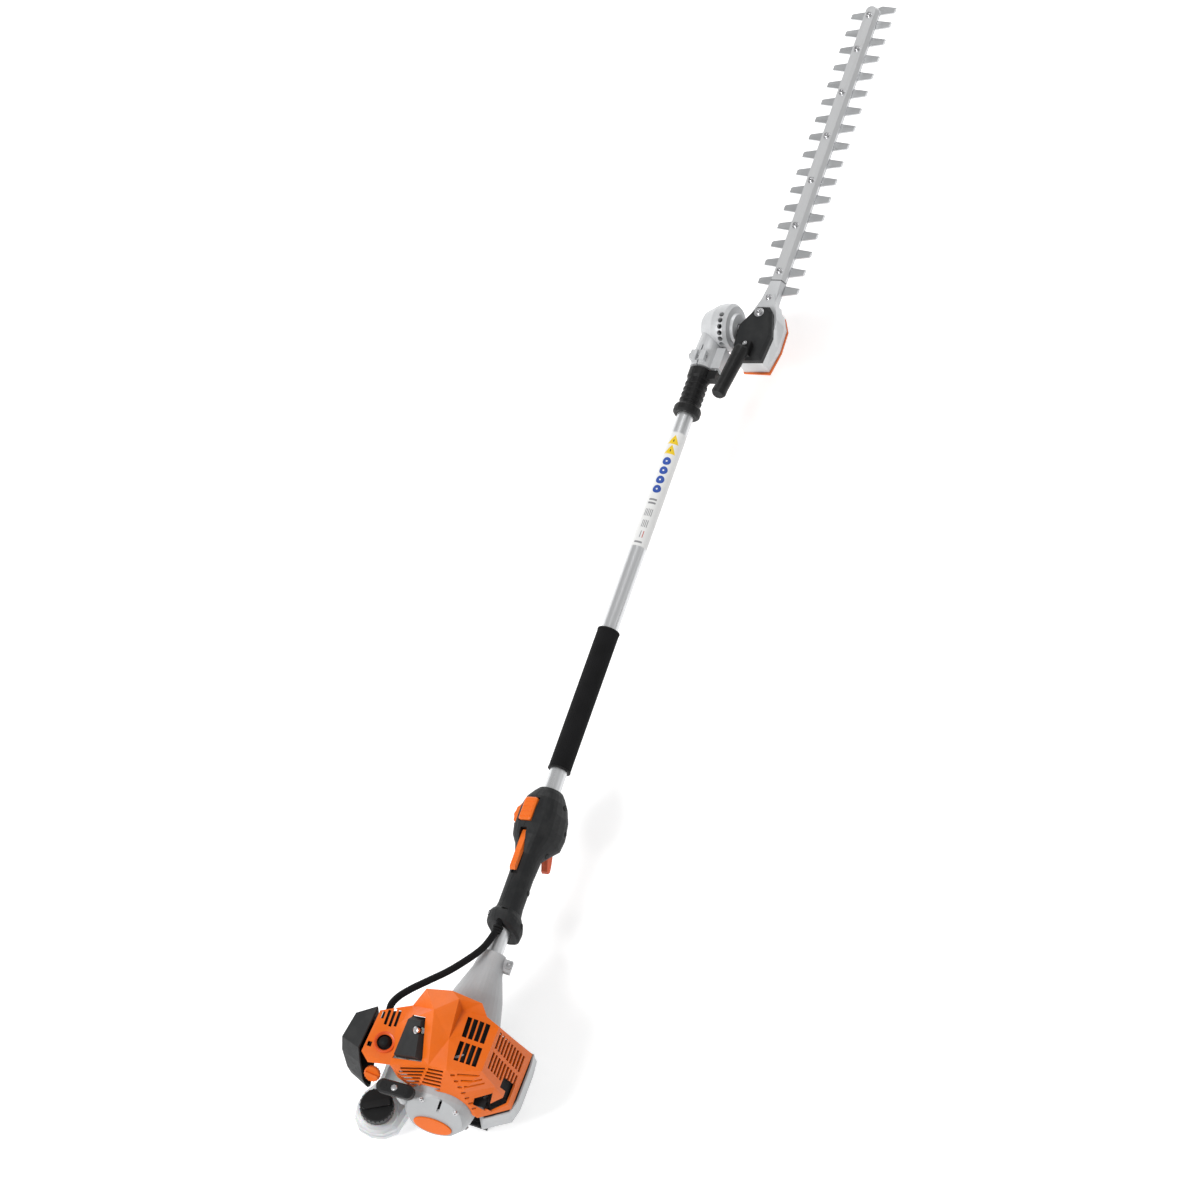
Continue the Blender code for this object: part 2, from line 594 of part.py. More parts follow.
def air_intake(frame):
    near = [(24, 120, 40), (-38, 125, 42), (-54, 118, 26), (-68, 111, -6), (-72, 104, -22), (-66, 104, -44),
            (18, 119, -44)]
    far = [(10, 147, 24), (-26, 154, 22), (-40, 150, 8), (-56, 138, -10), (-60, 132, -22), (-54, 132, -40),
           (8, 146, -40)]
    points = [Vector(p) for p in near + far]
    size = len(near)
    faces = band(list(range(size)), list(range(size, 2 * size)))
    faces.append(tuple(range(size, 2 * size)))
    cover = node("air_filter_cover", (points, faces), "dark", frame)
    thicken(cover, 2.2)
    node("air_filter", box((-34, 2), (117, 136), (-32, 10)), "foam", frame)

    carburettor = node("carburettor", box((-22, 8), (66, 104), (-12, 26)), "casting", frame)
    start, end = Vector((-4, 70, 10)), Vector((0, 38.5, 49))
    duct = end - start
    add(carburettor, turned([(0, 0), (0, 9), (duct.length, 9), (duct.length, 0)], start, duct, 14))

    dome = [(-6, 0), (-6, 9), (0, 9), (5, 8), (8.5, 5), (9.5, 0)]
    node("primer_bulb", turned(dome, (-20, 94, 39), Z, 20), "black", frame, (-20, 94, 39))
    lever_at = Vector((-60.5, 98, 20))
    disc = turned([(-3, 0), (-3, 10), (-2, 10.8), (2, 10.8), (3, 10), (3, 0)], lever_at, CHOKE_AXIS, 24)
    choke = node("choke_lever", disc, "orange", frame, lever_at)
    bar = prism([(-9, -2), (9, -2), (9, 2), (-9, 2)], 2, 6.5)
    turn = Matrix((*basis(CHOKE_AXIS), CHOKE_AXIS)).transposed()
    add(choke, ([turn @ p + lever_at for p in bar[0]], bar[1]))


# ---------------------------------------------------------------- pole and control handle

def pole(frame):
    tube = [(TUBE_START, TUBE_R), (TUBE_END, TUBE_R), (TUBE_END, TUBE_BORE_R), (TUBE_START, TUBE_BORE_R)]
    node("drive_tube", turned(tube, count=40), "silver", frame)
    shaft = [(67, 0), (67, SHAFT_R), (PIVOT_X - 16, SHAFT_R), (PIVOT_X - 16, 0)]
    node("drive_shaft", turned(shaft, count=12), "steel", frame)
    bush = [(700, SHAFT_R + GAP), (700, 10.8), (730, 10.8), (730, SHAFT_R + GAP)]
    node("shaft_bush", turned(bush, count=16), "black", frame)
    foam = [(434, CLAMP_R), (434, 15.2), (437, 16.4), (656, 16.4), (659, 15.2), (659, CLAMP_R)]
    node("hose_grip", turned(foam, count=32), "foam", frame)


HANDLE_RINGS = [         # x, half width, half height, centre height, lean of the ring, squareness
    (-102, 21, 23, -2, 0.36, 2.2), (-99, 24.5, 27, -2, 0.36, 2.2), (-89, 25.5, 28, -2, 0.36, 2.2),
    (-83, 24, 26, -2, 0.3, 2.2), (-74, 19, 19.5, 0, 0.15, 2.1), (-64, 17.6, 18.2, 0, 0, 2.1),
    (-20, 17.4, 18.2, 0, 0, 2.1), (10, 18.4, 20, -0.5, 0, 2.2), (24, 23, 28, -4, 0, 2.4),
    (36, 29.5, 35, -6, 0, 2.9), (52, 32.5, 36, -5, 0, 3.0), (76, 32, 33, -2, 0, 3.0), (94, 27.5, 28.5, 0, 0, 2.7),
    (106, 21.5, 22.5, 0, 0, 2.3), (112, 17.5, 18, 0, 0, 2.1),
]


def handle_ring(x, width, height, centre, lean, power, count=28):
    ring = []
    for angle in circle(count):
        c, s = math.cos(angle), math.sin(angle)
        y = width * math.copysign(abs(c) ** (2 / power), c)
        z = centre + height * math.copysign(abs(s) ** (2 / power), s)
        ring.append((x + lean * z, y, z))
    return ring


def control_handle(frame):
    body = loft([handle_ring(*ring) for ring in HANDLE_RINGS])
    wheel_at = Vector((67, 12.5, 19.4))
    for side, name in ((1, "handle_shell_left"), (-1, "handle_shell_right")):
        shell = node(name, body, "dark", frame)
        half = [(-60 * side, 0.2 * side), (-60 * side, 0.2 * side)]
        low, high = sorted((half[0][0], half[0][1]))
        carve(shell, box((-200, 200), (low, high), (-80, 80)))
        carve(shell, turned([(-200, 0), (-200, CLAMP_R), (200, CLAMP_R), (200, 0)], count=32))
        carve(shell, box((12, 58), (-6.8, 6.8), (-60, -13.5)), box((-21, 44), (-5.6, 5.6), (14.4, 60)))
        carve(shell, box((53, 90), (-10, 14.5), (23, 60)))
        carve(shell, turned([(-3.9, 0), (-3.9, 20.8), (3.9, 20.8), (3.9, 0)], wheel_at, Z, 28))
        if side > 0:
            carve(shell, box((48.5, 85.5), (20.5, 60), (22.2, 60)))
        if side < 0:
            carve(shell, turned([(-140, 0), (-140, 5.6), (-74, 5.6), (-74, 0)], HOSE_SOCKET, X, 14))

    blade = [(50, -24), (48, -30), (39, -38), (28, -43), (16, -46.5), (9, -47.5), (6, -45), (8, -41.5), (14, -38.5),
             (22, -34), (30, -28), (38, -18), (48, -17)]
    node("throttle_trigger", prism(blade, -5.6, 5.6, "Y"), "orange", frame, (46, 0, -22))
    lever = [(42, 18.5), (42, 24), (34, 24.8), (8, 25), (-14, 25), (-18, 22.5), (-17, 19.5), (30, 18.5)]
    node("trigger_lockout", prism(lever, -4.8, 4.8, "Y"), "orange", frame, (38, 0, 20))
    button = rounded([(54, -9), (89, -9), (89, 13.5), (54, 13.5)], 4, 3)
    node("stop_switch", stacked(button, ((25, 0), (32, 0), (33.6, 2))), "orange", frame, (71, 2.5, 25))
    wheel = [(-3.3, 0), (-3.3, 20), (3.3, 20), (3.3, 0)]
    node("speed_wheel", turned(wheel, wheel_at, Z, teeth=12, depth=1.0), "orange", frame, wheel_at)


HOSE_SOCKET = Vector((0, -7, 17.5))      # in handle_frame, across the tube
HOSE_ROUTE = [(196, 4.6, 18.3), (184, 5, 18.9), (164, 9, 22.5), (146, 15, 28), (124, 28, 35), (100, 46, 40),
              (79, 66, 43), (61, 84.5, 42), (47, 98, 36), (35, 105, 29), (24, 105, 22)]


def throttle_hose(frame):
    tube_along("throttle_cable_sleeve", HOSE_ROUTE, 4.9, "black", frame)


# ---------------------------------------------------------------- cutter head

def swivel_housing(frame):
    barrel = [(-78, CLAMP_R), (-78, 19.5), (-50, 20.5), (-20, 19), (-20, 9.5), (-53, 9.5), (-53, CLAMP_R)]
    housing = node("swivel_housing", turned(barrel, count=32, twist=0.098), "silver", frame)
    disc = [(-19, 0), (-19, 18), (-14, 24), (0, 31), (8, 35), (16, 36), (16, 0)]
    add(housing, turned(disc, direction=-Y, count=40))
    add(housing, box((-77.5, -42), (-33, -13.6), (-8.5, 8.5)))
    add(housing, box((-73, -57), (3, 13), (13.5, 25.5)))
    add(housing, box((-73, -57), (-12, -3), (13.5, 25.5)))
    carve(housing, turned([(-14, 0), (-14, 14), (4, 17), (7, 26), (20, 26), (20, 0)], direction=-Y, count=32))
    carve(housing, turned([(-52, 0), (-52, 9.3), (-31, 9.3), (-31, 16.4), (-15, 16.4), (-15, 0)], count=26, twist=0.07))
    carve(housing, box((-90, -44), (-1, 1), (6, 40)))
    carve(housing, turned([(-90, 0), (-90, 3.6), (-74, 3.6), (-74, 6.4), (-46, 6.4), (-46, 3.6), (-20, 3.6), (-20, 0)],
                          (0, BOLT_Y, 0), X, 14))
    carve(housing, turned([(16.3, 0), (16.3, 38.2), (34, 38.2), (34, 0)], direction=-Y, count=36, twist=0.06))
    carve(housing, turned([(-30, 0), (-30, 2.9), (30, 2.9), (30, 0)], (-65, 0, 19.5), Y, 12))
    screw = [(-15.6, 0), (-15.6, 4.6), (-13.3, 4.6), (-13.3, 2.5), (11, 2.5), (11, 0)]
    node("head_clamp_screw", turned(screw, (-65, 0, 19.5), -Y, 12), "steel", frame)


def lock(frame):
    outer = [(-159, CLAMP_R), (-159, 18), (-156, 21), (-148, 21.2), (-144, 19), (-142, 16.2)]
    for rib in range(4):
        x = -137 + 9.4 * rib
        outer += [(x, 16.2), (x + 1.2, 17.4), (x + 3.6, 17.4), (x + 4.8, 16.2)]
    outer += [(-98, 16.4), (-94, 18.4), (-81, 18.4), (-81, CLAMP_R)]
    sleeve = node("locking_sleeve", turned(outer, count=24), "black", frame)
    add(sleeve, box((-96, -81.5), (-31, -14), (-7.5, 7.5)))
    carve(sleeve, turned([(-93, 0), (-93, 3.5), (-70, 3.5), (-70, 0)], (0, BOLT_Y, 0), X, 12))
    bolt = [(-92.5, 0), (-92.5, 3.1), (-53, 3.1), (-53, 5.6), (-50.5, 5.6), (-50.5, 3.1), (-39.5, 3.1), (-38, 2),
            (-38, 0)]
    node("lock_bolt", turned(bolt, (0, BOLT_Y, 0), X, 12), "steel", frame)
    node("lock_spring", coil(-72.8, -65.9, 4, 4.7, 0.45, (0, BOLT_Y, 0)), "steel", frame)


def coil(start, end, turns, radius, wire, centre):
    """A helical spring along X with plain cut ends."""
    steps = turns * 10
    rings = []
    for k in range(steps + 1):
        angle = 2 * math.pi * turns * k / steps
        spoke = Vector((0, math.cos(angle), math.sin(angle)))
        middle = Vector(centre) + Vector((start + (end - start) * k / steps, 0, 0)) + spoke * radius
        rings.append([middle + X * wire * math.cos(a) + spoke * wire * math.sin(a) for a in circle(4)])
    return loft(rings)


def gears(frame):
    pinion = [(-29, SHAFT_R + GAP), (-29, 12), (-25, 15.4), (-17, 10.0), (-17, SHAFT_R + GAP)]
    node("bevel_pinion", turned(pinion, direction=X, teeth=10, depth=2.2), "steel", frame)
    cross = [(9.2, 0), (11.8, 14.4), (17.8, 22.6), (21, 22.6), (21, 6), (49.5, 6), (49.5, 0)]
    shaft = node("cross_shaft", turned(cross, direction=-Y, teeth=14, depth=2.0), "steel", frame)
    add(shaft, turned([(20, 0), (20, 5), (48.5, 5), (48.5, 6.4), (57, 5.2), (57, 0)], direction=-Y, count=12))

    crown = [(-10.4, 0), (-10.4, 9), (-8.6, 17.6), (-13, 19), (-13, 10), (-16, 10), (-16, 0)]
    gear = node("crank_gear", turned(crown, (-2, BLADE_Y, 0), Z, teeth=16, depth=1.6), "steel", frame,
                (-2, BLADE_Y, 0))
    for offset, low in ((7.0, -20.2), (-7.0, -22.8)):
        pin = [(low, 0), (low, 3.2), (-14, 3.2), (-14, 0)]
        add(gear, turned(pin, (-2 + offset, BLADE_Y, 0), Z, 10))


CASING_BASE = [(76, -60), (50, -49), (10, -38), (-30, -39), (-55, -50), (-53, -92), (-18, -99), (20, -98), (50, -84),
               (76, -74)]
CASING_TOP = [(66, -59), (40, -50), (4, -39), (-32, -42), (-57, -50), (-56, -92), (-14, -97), (22, -93), (44, -84),
              (66, -75)]
COVER = [(37, -60), (2, -38.5), (-32, -41), (-60, -49), (-58, -96), (-15, -100), (28, -87), (37, -80)]


def blade_gearbox(frame):
    ring = [(16.6, 30), (16.6, 37), (28, 37), (32.8, 33), (32.8, 9), (29, 9), (29, 30)]
    index = node("index_ring", turned(ring, direction=-Y, count=30), "silver", frame)
    holes = []
    for step in range(-4, 7):
        angle = math.radians(INDEX_STEP * step)
        spoke = Vector((-math.cos(angle), 0, math.sin(angle)))
        holes.append(turned([(26, 0), (26, 4.1), (42, 4.1), (42, 0)], (0, BOLT_Y, 0), spoke, 10))
    carve(index, *holes[::2])
    carve(index, *holes[1::2])

    casing = loft([[(a, b, -36) for a, b in CASING_BASE], [(a, b, -26) for a, b in CASING_BASE],
                   [(a, b, -4) for a, b in CASING_TOP]])
    housing = node("blade_gear_housing", casing, "silver", frame)
    nose = loft([[(50, y, z) for y, z in ((-51, -30), (-83, -30), (-80, -5), (-54, -5))],
                 [(93, y, z) for y, z in ((-54.5, -17.6), (-79.5, -17.6), (-75.5, -8), (-58.5, -8))]])
    add(housing, nose)
    add(housing, turned([(33.2, 0), (33.2, 23), (37.6, 21), (37.6, 0)], direction=-Y, count=28))
    add(housing, box((-20, 20), (-41.5, -35), (-21, -6)))
    inner = [(a, b) for a, b in inset(CASING_TOP, 4)]
    carve(housing, prism([(min(a, 40), b) for a, b in inner], -40, -8))
    carve(housing, box((-24, 23), (-62, -48), (-12, 0)))
    carve(housing, box((0, 120), (-83, -51), (-30, -17.7)))
    carve(housing, box((44, 120), (-100, -30), (-45, -25)))
    carve(housing, turned([(30, 0), (30, 7), (52, 7), (52, 0)], direction=-Y, count=20))

    plate = [(a, b) for a, b in CASING_BASE]
    plate = [(min(a, 43.5), b) for a, b in inset(plate, -1.2)]
    plate = [(-56.5, -49), (-56.5, -93.5), (-18, -100.5), (20, -99.5), (43, -88), (43, -46), (10, -36.5), (-30, -37.5)]
    node("base_plate", prism(plate, -39.5, -36.4), "orange", frame)
    cover = node("gear_cover", stacked(COVER, ((-3.6, 0), (4, 0), (9, 4))), "dark", frame)
    carve(cover, stacked(COVER, ((-6, 2.4), (3, 2.4), (6.8, 6))))
    carve(cover, turned([(30, 0), (30, 7), (52, 7), (52, 0)], direction=-Y, count=20))

    start, end = Vector((-49, -69, 22)), Vector((-141, -65, 37))
    reach = (end - start).length
    grip = [(0, 0), (0, 10), (5, 12), (40, 11), (reach - 14, 10.6), (reach - 4, 11.2), (reach, 8.6), (reach, 0)]
    lever = node("swivel_lever", turned(grip, start, end - start, 24), "black", frame)
    add(lever, box((-56, -34), (-78, -60), (9.5, 19)))


def tooth_side(first, count, outward):
    """The outline points of one row of teeth, from the tip of the blade backwards."""
    points = []
    for k in reversed(range(count)):
        x = min(first + TOOTH_PITCH * k, LAST_TOOTH)
        for along, across in ((8.2, 11.0), (4.2, TOOTH_REACH), (-4.6, TOOTH_REACH), (-8.4, 11.0)):
            points.append((x + along, BLADE_Y + outward * across))
    return points


def blade_outline(shift):
    """Plan of one blade: a spine with teeth down both sides."""
    right = tooth_side(FIRST_TOOTH, RIGHT_TEETH, -1)
    left = tooth_side(FIRST_TOOTH + TOOTH_STAGGER, LEFT_TEETH, 1)
    tail = [(48, BLADE_Y - 11), (20, BLADE_Y - 7), (20, BLADE_Y + 7), (48, BLADE_Y + 11)]
    outline = right + tail + left[::-1]
    return [(a + shift, b) for a, b in outline]


def cutter(frame):
    half_base, half_top = 12.5, 8.5
    rings = []
    for half, end, level in ((half_base, BAR_END, BAR_BASE), (half_base, BAR_END, BAR_BASE + 2.5),
                             (half_top, BAR_END - 4, BAR_TOP)):
        ring = [(BAR_START, BLADE_Y - half, level), (BAR_START, BLADE_Y + half, level)]
        for k in range(9):
            angle = math.pi / 2 - math.pi * k / 8
            ring.append((end - half + half * math.cos(angle), BLADE_Y + half * math.sin(angle), level))
        rings.append(ring)
    node("guide_bar", loft(rings), "silver", frame)
    upper = prism(blade_outline(-1.5), UPPER_BLADE_TOP - BLADE_THICKNESS, UPPER_BLADE_TOP)
    node("upper_blade", upper, "steel", frame)
    lower = prism(blade_outline(1.5), LOWER_BLADE_TOP - BLADE_THICKNESS, LOWER_BLADE_TOP)
    node("lower_blade", lower, "steel", frame)


# ---------------------------------------------------------------- the machine

def main():
    clear_scene()
    engine = working_frame("engine_frame", 0.0, 0.0)
    handle = working_frame("handle_frame", HANDLE_X, HANDLE_ROLL)
    head = working_frame("head_frame", PIVOT_X, HEAD_ROLL)
    crank_train(engine)
    cylinder(engine)
    flywheel_and_clutch(engine)
    clutch_housing(engine)
    starter(engine)
    starter_pull(engine)
    shroud(engine)
    lower_casings(engine)
    fuel_system(engine)
    air_intake(engine)
    pole(engine)
    control_handle(handle)
    throttle_hose(engine)
    swivel_housing(head)
    lock(head)
    gears(head)
    blade_gearbox(head)
    cutter(head)
    bpy.context.view_layer.update()


main()
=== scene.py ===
"""Looks of the pole hedge trimmer: camera, light, floor, materials and surface detail."""
import math

import bmesh
import bpy
from mathutils import Matrix, Vector


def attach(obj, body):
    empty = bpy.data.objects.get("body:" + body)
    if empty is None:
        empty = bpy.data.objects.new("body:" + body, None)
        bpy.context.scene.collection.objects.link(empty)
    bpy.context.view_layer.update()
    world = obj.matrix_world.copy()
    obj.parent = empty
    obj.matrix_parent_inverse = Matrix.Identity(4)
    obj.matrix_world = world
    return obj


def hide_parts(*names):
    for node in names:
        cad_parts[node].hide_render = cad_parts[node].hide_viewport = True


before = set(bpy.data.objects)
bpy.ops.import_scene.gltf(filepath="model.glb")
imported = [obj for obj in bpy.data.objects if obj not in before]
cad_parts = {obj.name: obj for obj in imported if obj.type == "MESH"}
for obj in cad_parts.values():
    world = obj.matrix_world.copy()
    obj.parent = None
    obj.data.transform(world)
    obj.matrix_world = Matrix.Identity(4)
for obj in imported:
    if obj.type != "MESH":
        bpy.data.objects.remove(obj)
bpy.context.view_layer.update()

MM = 0.001
X, Y, Z = Vector((1, 0, 0)), Vector((0, 1, 0)), Vector((0, 0, 1))
AXIS = Vector((0, 0, 0.110))           # crank axis, above the middle of the stand


def working_frame(x, roll):
    """Local millimetres to the row frame: a point of the tube axis, rolled about the tube."""
    turn = Matrix.Rotation(math.radians(roll), 4, "X")
    return Matrix.Translation(AXIS + X * x) @ turn @ Matrix.Scale(MM, 4)


ENGINE = working_frame(0.0, 0.0)
HANDLE = working_frame(0.288, -36.0)
HEAD = working_frame(1.185, -27.0)
BLADE_Y = -67.0                        # middle of the guide bar
BAR_TOP = -8.0
BAR_SCREWS = (604, 536, 451, 366, 281, 196, 111)
FUEL_CAP = Vector((-92, 83, 0))
PRIMER_RIM = Vector((-20, 94, 42.6))
CHOKE_KNOB, CHOKE_AXIS = (-60.5, 98, 20), (-0.66, 0.06, 0.75)
GRIP, GRIP_PULL = Vector((-77, 57, 52)), Vector((0, 0.26, 0.966)).normalized()
HOSE_R = 4.9
HOSE_ROUTE = [(196, 4.6, 18.3), (184, 5, 18.9), (164, 9, 22.5), (146, 15, 28), (124, 28, 35), (100, 46, 40),
              (79, 66, 43), (61, 84.5, 42), (47, 98, 36), (35, 105, 29), (24, 105, 22)]
TANK_LINE = [(-120, 101), (-123, 84), (-119, 66), (-106, 51), (-60, 40), (-44, -28), (46, -28), (46, 92),
             (-50, 96), (-72, 110), (-90, 114), (-108, 111)]
BAND_R, PRINT_R = 12.86, 12.98         # the label band, and the shapes printed on it
LABEL_UP = math.radians(78)            # middle of the label, round the tube


# ---------------------------------------------------------------- camera, light and floor

CAMERA_PLACE = (-0.774, -0.403, 3.736)
CAMERA_BACK = Vector((-0.3746, -0.1093, 0.9207)).normalized()
CAMERA_RIGHT = Vector((0.3139, -0.9493, 0.0151))
CAMERA_LENS = 81.33
MIDDLE = (0.7, 0.0, 0.1)               # what the key and fill lights face


def look_from_photo_angle():
    data = bpy.data.cameras.new("camera")
    data.lens = CAMERA_LENS
    data.sensor_width = 36.0
    data.clip_end = 50.0
    camera = bpy.data.objects.new("camera", data)
    bpy.context.collection.objects.link(camera)
    right = (CAMERA_RIGHT - CAMERA_BACK * CAMERA_RIGHT.dot(CAMERA_BACK)).normalized()
    up = CAMERA_BACK.cross(right)
    turn = Matrix((right, up, CAMERA_BACK)).transposed().to_4x4()
    camera.matrix_world = Matrix.Translation(CAMERA_PLACE) @ turn
    bpy.context.scene.camera = camera


def area_light(name, place, target, size, power):
    data = bpy.data.lights.new(name, "AREA")
    data.shape = "RECTANGLE"
    data.size, data.size_y = size
    data.energy = power
    light = bpy.data.objects.new(name, data)
    bpy.context.collection.objects.link(light)
    light.location = place
    light.rotation_euler = (Vector(target) - Vector(place)).to_track_quat("-Z", "Y").to_euler()


def studio():
    """A white room: soft key, weak fill and rim, and a floor that glows a little to lift its shadows."""
    world = bpy.data.worlds.new("studio")
    world.use_nodes = True
    background = world.node_tree.nodes["Background"]
    background.inputs["Color"].default_value = (1.0, 1.0, 1.0, 1.0)
    background.inputs["Strength"].default_value = 0.42
    bpy.context.scene.world = world
    bpy.context.scene.view_settings.view_transform = "Standard"
    area_light("key", (-1.6, 2.2, 3.2), MIDDLE, (1.3, 1.3), 105.0)
    area_light("fill", (0.5, -3.2, 2.2), MIDDLE, (3.0, 2.0), 14.0)
    area_light("rim", (3.4, 0.6, 2.0), (0.9, 0.0, 0.1), (1.2, 2.4), 26.0)

    floor = mesh_piece("floor", quad_sheet(-6, 8, -6, 6), None, Matrix.Identity(4), None)
    floor.data.materials.append(surface("floor", (0.97, 0.97, 0.97), 0.6, variation=0.01, grain=(30, 0.02)))
    glow = floor.data.materials[0].node_tree.nodes["Principled BSDF"]
    glow.inputs["Emission Color"].default_value = (1.0, 1.0, 1.0, 1.0)
    glow.inputs["Emission Strength"].default_value = 0.42


def quad_sheet(x0, x1, y0, y1):
    return [(x0, y0, 0), (x1, y0, 0), (x1, y1, 0), (x0, y1, 0)], [(0, 1, 2, 3)]


# ---------------------------------------------------------------- materials

class Shader:
    """A Principled material with helpers for the textures that feed it."""

    def __init__(self, name):
        self.material = bpy.data.materials.new(name)
        self.material.use_nodes = True
        self.tree = self.material.node_tree
        self.principled = self.tree.nodes["Principled BSDF"]
        self.coordinates = self.tree.nodes.new("ShaderNodeTexCoord")

    def node(self, kind, **values):
        made = self.tree.nodes.new(kind)
        for key, value in values.items():
            setattr(made, key, value)
        return made

    def link(self, start, end):
        self.tree.links.new(start, end)

    def stretched(self, scale, source="Object"):
        mapping = self.node("ShaderNodeMapping")
        mapping.inputs["Scale"].default_value = scale
        self.link(self.coordinates.outputs[source], mapping.inputs["Vector"])
        return mapping.outputs["Vector"]

    def noise(self, vector, scale, detail=3.0):
        noise = self.node("ShaderNodeTexNoise")
        noise.inputs["Scale"].default_value = scale
        noise.inputs["Detail"].default_value = detail
        self.link(vector, noise.inputs["Vector"])
        return noise.outputs["Fac"]

    def ranged(self, value, low, high, start=0.35, end=0.65):
        made = self.node("ShaderNodeMapRange")
        for key, number in (("From Min", start), ("From Max", end), ("To Min", low), ("To Max", high)):
            made.inputs[key].default_value = number
        self.link(value, made.inputs["Value"])
        return made.outputs["Result"]

    def mixed(self, factor, first, second):
        """A colour between two, each a colour or another node's output."""
        mix = self.node("ShaderNodeMix", data_type="RGBA")
        self.link(factor, mix.inputs["Factor"])
        for key, value in (("A", first), ("B", second)):
            slot = [s for s in mix.inputs if s.name == key and s.type == "RGBA"][0]
            if isinstance(value, tuple):
                slot.default_value = (*value, 1.0)
            else:
                self.link(value, slot)
        return [s for s in mix.outputs if s.type == "RGBA"][0]

    def bump(self, height, strength, distance, below=None):
        bump = self.node("ShaderNodeBump")
        bump.inputs["Strength"].default_value = strength
        bump.inputs["Distance"].default_value = distance
        self.link(height, bump.inputs["Height"])
        if below is not None:
            self.link(below, bump.inputs["Normal"])
        return bump.outputs["Normal"]

    def set(self, **values):
        for key, value in values.items():
            self.principled.inputs[key.replace("_", " ")].default_value = value

    def feed(self, key, output):
        self.link(output, self.principled.inputs[key])


def shade(colour, factor):
    return tuple(min(1.0, c * factor) for c in colour)


def surface(name, colour, roughness, metallic=0.0, variation=0.08, grain=(900, 0.15), wear_and_highlight=0.0,
            stretch=(1, 1, 1), coat=0.0, uneven=0.08, dust=0.0, specular=0.5):
    """A moulded, cast or ground surface: slow colour drift, fine grain, and lighter edges, partly wear and
    partly painted highlight.
    """
    shader = Shader(name)
    vector = shader.stretched(stretch)
    drift = shader.noise(vector, 22.0, 4.0)
    colours = shader.mixed(shader.ranged(drift, 0, 1), shade(colour, 1 - variation),
                           shade(colour, 1 + variation))
    speck = shader.noise(vector, grain[0] * 0.35, 5.0)
    colours = shader.mixed(shader.ranged(speck, 0.0, 0.3), colours, shade(colour, 1 - 2.2 * variation))
    # sharp edges lightened: partly wear, partly a painted highlight
    if wear_and_highlight:
        edge = shader.node("ShaderNodeNewGeometry").outputs["Pointiness"]
        worn_and_lit_edge = shader.ranged(edge, 0.0, wear_and_highlight, 0.53, 0.62)
        colours = shader.mixed(worn_and_lit_edge, colours, shade(tuple(c + 0.12 for c in colour), 1.25))
    if dust:
        normal = shader.node("ShaderNodeSeparateXYZ")
        shader.link(shader.node("ShaderNodeNewGeometry").outputs["Normal"], normal.inputs["Vector"])
        smear = shader.noise(shader.stretched((1, 1, 1)), 60.0, 6.0)
        amount = shader.node("ShaderNodeMath", operation="MULTIPLY")
        shader.link(shader.ranged(smear, 0, dust, 0.45, 0.7), amount.inputs[0])
        shader.link(shader.ranged(normal.outputs["Z"], 0, 1, 0.2, 1.0), amount.inputs[1])
        colours = shader.mixed(amount.outputs["Value"], colours, (0.5, 0.48, 0.44))
    shader.feed("Base Color", colours)
    patches = shader.noise(vector, 140.0, 4.0)
    shader.feed("Roughness", shader.ranged(patches, roughness - uneven / 2, roughness + uneven, 0.3, 0.7))
    fine = shader.noise(vector, grain[0], 4.0)
    shader.feed("Normal", shader.bump(fine, grain[1], 0.0006))
    shader.set(Metallic=metallic)
    if coat:
        shader.set(Coat_Weight=coat, Coat_Roughness=0.2)
    if specular != 0.5:
        shader.set(Specular_IOR_Level=specular)
    return shader.material


def braided(name, colour):
    """A woven sleeve: two crossing helices drawn on the sleeve's own coordinates."""
    shader = Shader(name)
    heights = []
    for sign in (1, -1):
        mapping = shader.node("ShaderNodeMapping")
        mapping.inputs["Rotation"].default_value = (0, 0, math.radians(45 * sign))
        mapping.inputs["Scale"].default_value = (1, 1, 1)
        shader.link(shader.coordinates.outputs["UV"], mapping.inputs["Vector"])
        wave = shader.node("ShaderNodeTexWave")
        wave.inputs["Scale"].default_value = 4.0
        wave.inputs["Distortion"].default_value = 0.15
        shader.link(mapping.outputs["Vector"], wave.inputs["Vector"])
        heights.append(wave.outputs["Fac"])
    weave = shader.node("ShaderNodeMath", operation="MAXIMUM")
    shader.link(heights[0], weave.inputs[0])
    shader.link(heights[1], weave.inputs[1])
    shader.feed("Base Color", shader.mixed(shader.ranged(weave.outputs["Value"], 0, 1, 0.2, 0.95),
                                           shade(colour, 0.25), shade(colour, 1.5)))
    thread = shader.noise(shader.stretched((1, 1, 1)), 2200.0, 2.0)
    shader.feed("Roughness", shader.ranged(thread, 0.5, 0.75))
    fibres = shader.bump(thread, 0.3, 0.0003)
    shader.feed("Normal", shader.bump(weave.outputs["Value"], 0.9, 0.0012, fibres))
    shader.set(Specular_IOR_Level=0.2)
    return shader.material


def foam(name, colour):
    """Closed-cell foam rubber: small open pores over a soft skin."""
    shader = Shader(name)
    vector = shader.stretched((1, 1, 1))
    cells = shader.node("ShaderNodeTexVoronoi")
    cells.inputs["Scale"].default_value = 750.0
    shader.link(vector, cells.inputs["Vector"])
    soft = shader.noise(vector, 45.0, 4.0)
    tone = shader.mixed(shader.ranged(soft, 0, 1), shade(colour, 0.7), shade(colour, 1.4))
    shader.feed("Base Color", shader.mixed(shader.ranged(cells.outputs["Distance"], 0.6, 0, 0.0, 0.35),
                                           tone, shade(colour, 0.3)))
    shader.feed("Roughness", shader.ranged(soft, 0.82, 0.96))
    swell = shader.bump(soft, 0.25, 0.001)
    shader.feed("Normal", shader.bump(cells.outputs["Distance"], 0.7, 0.0005, swell))
    shader.set(Specular_IOR_Level=0.2)
    return shader.material


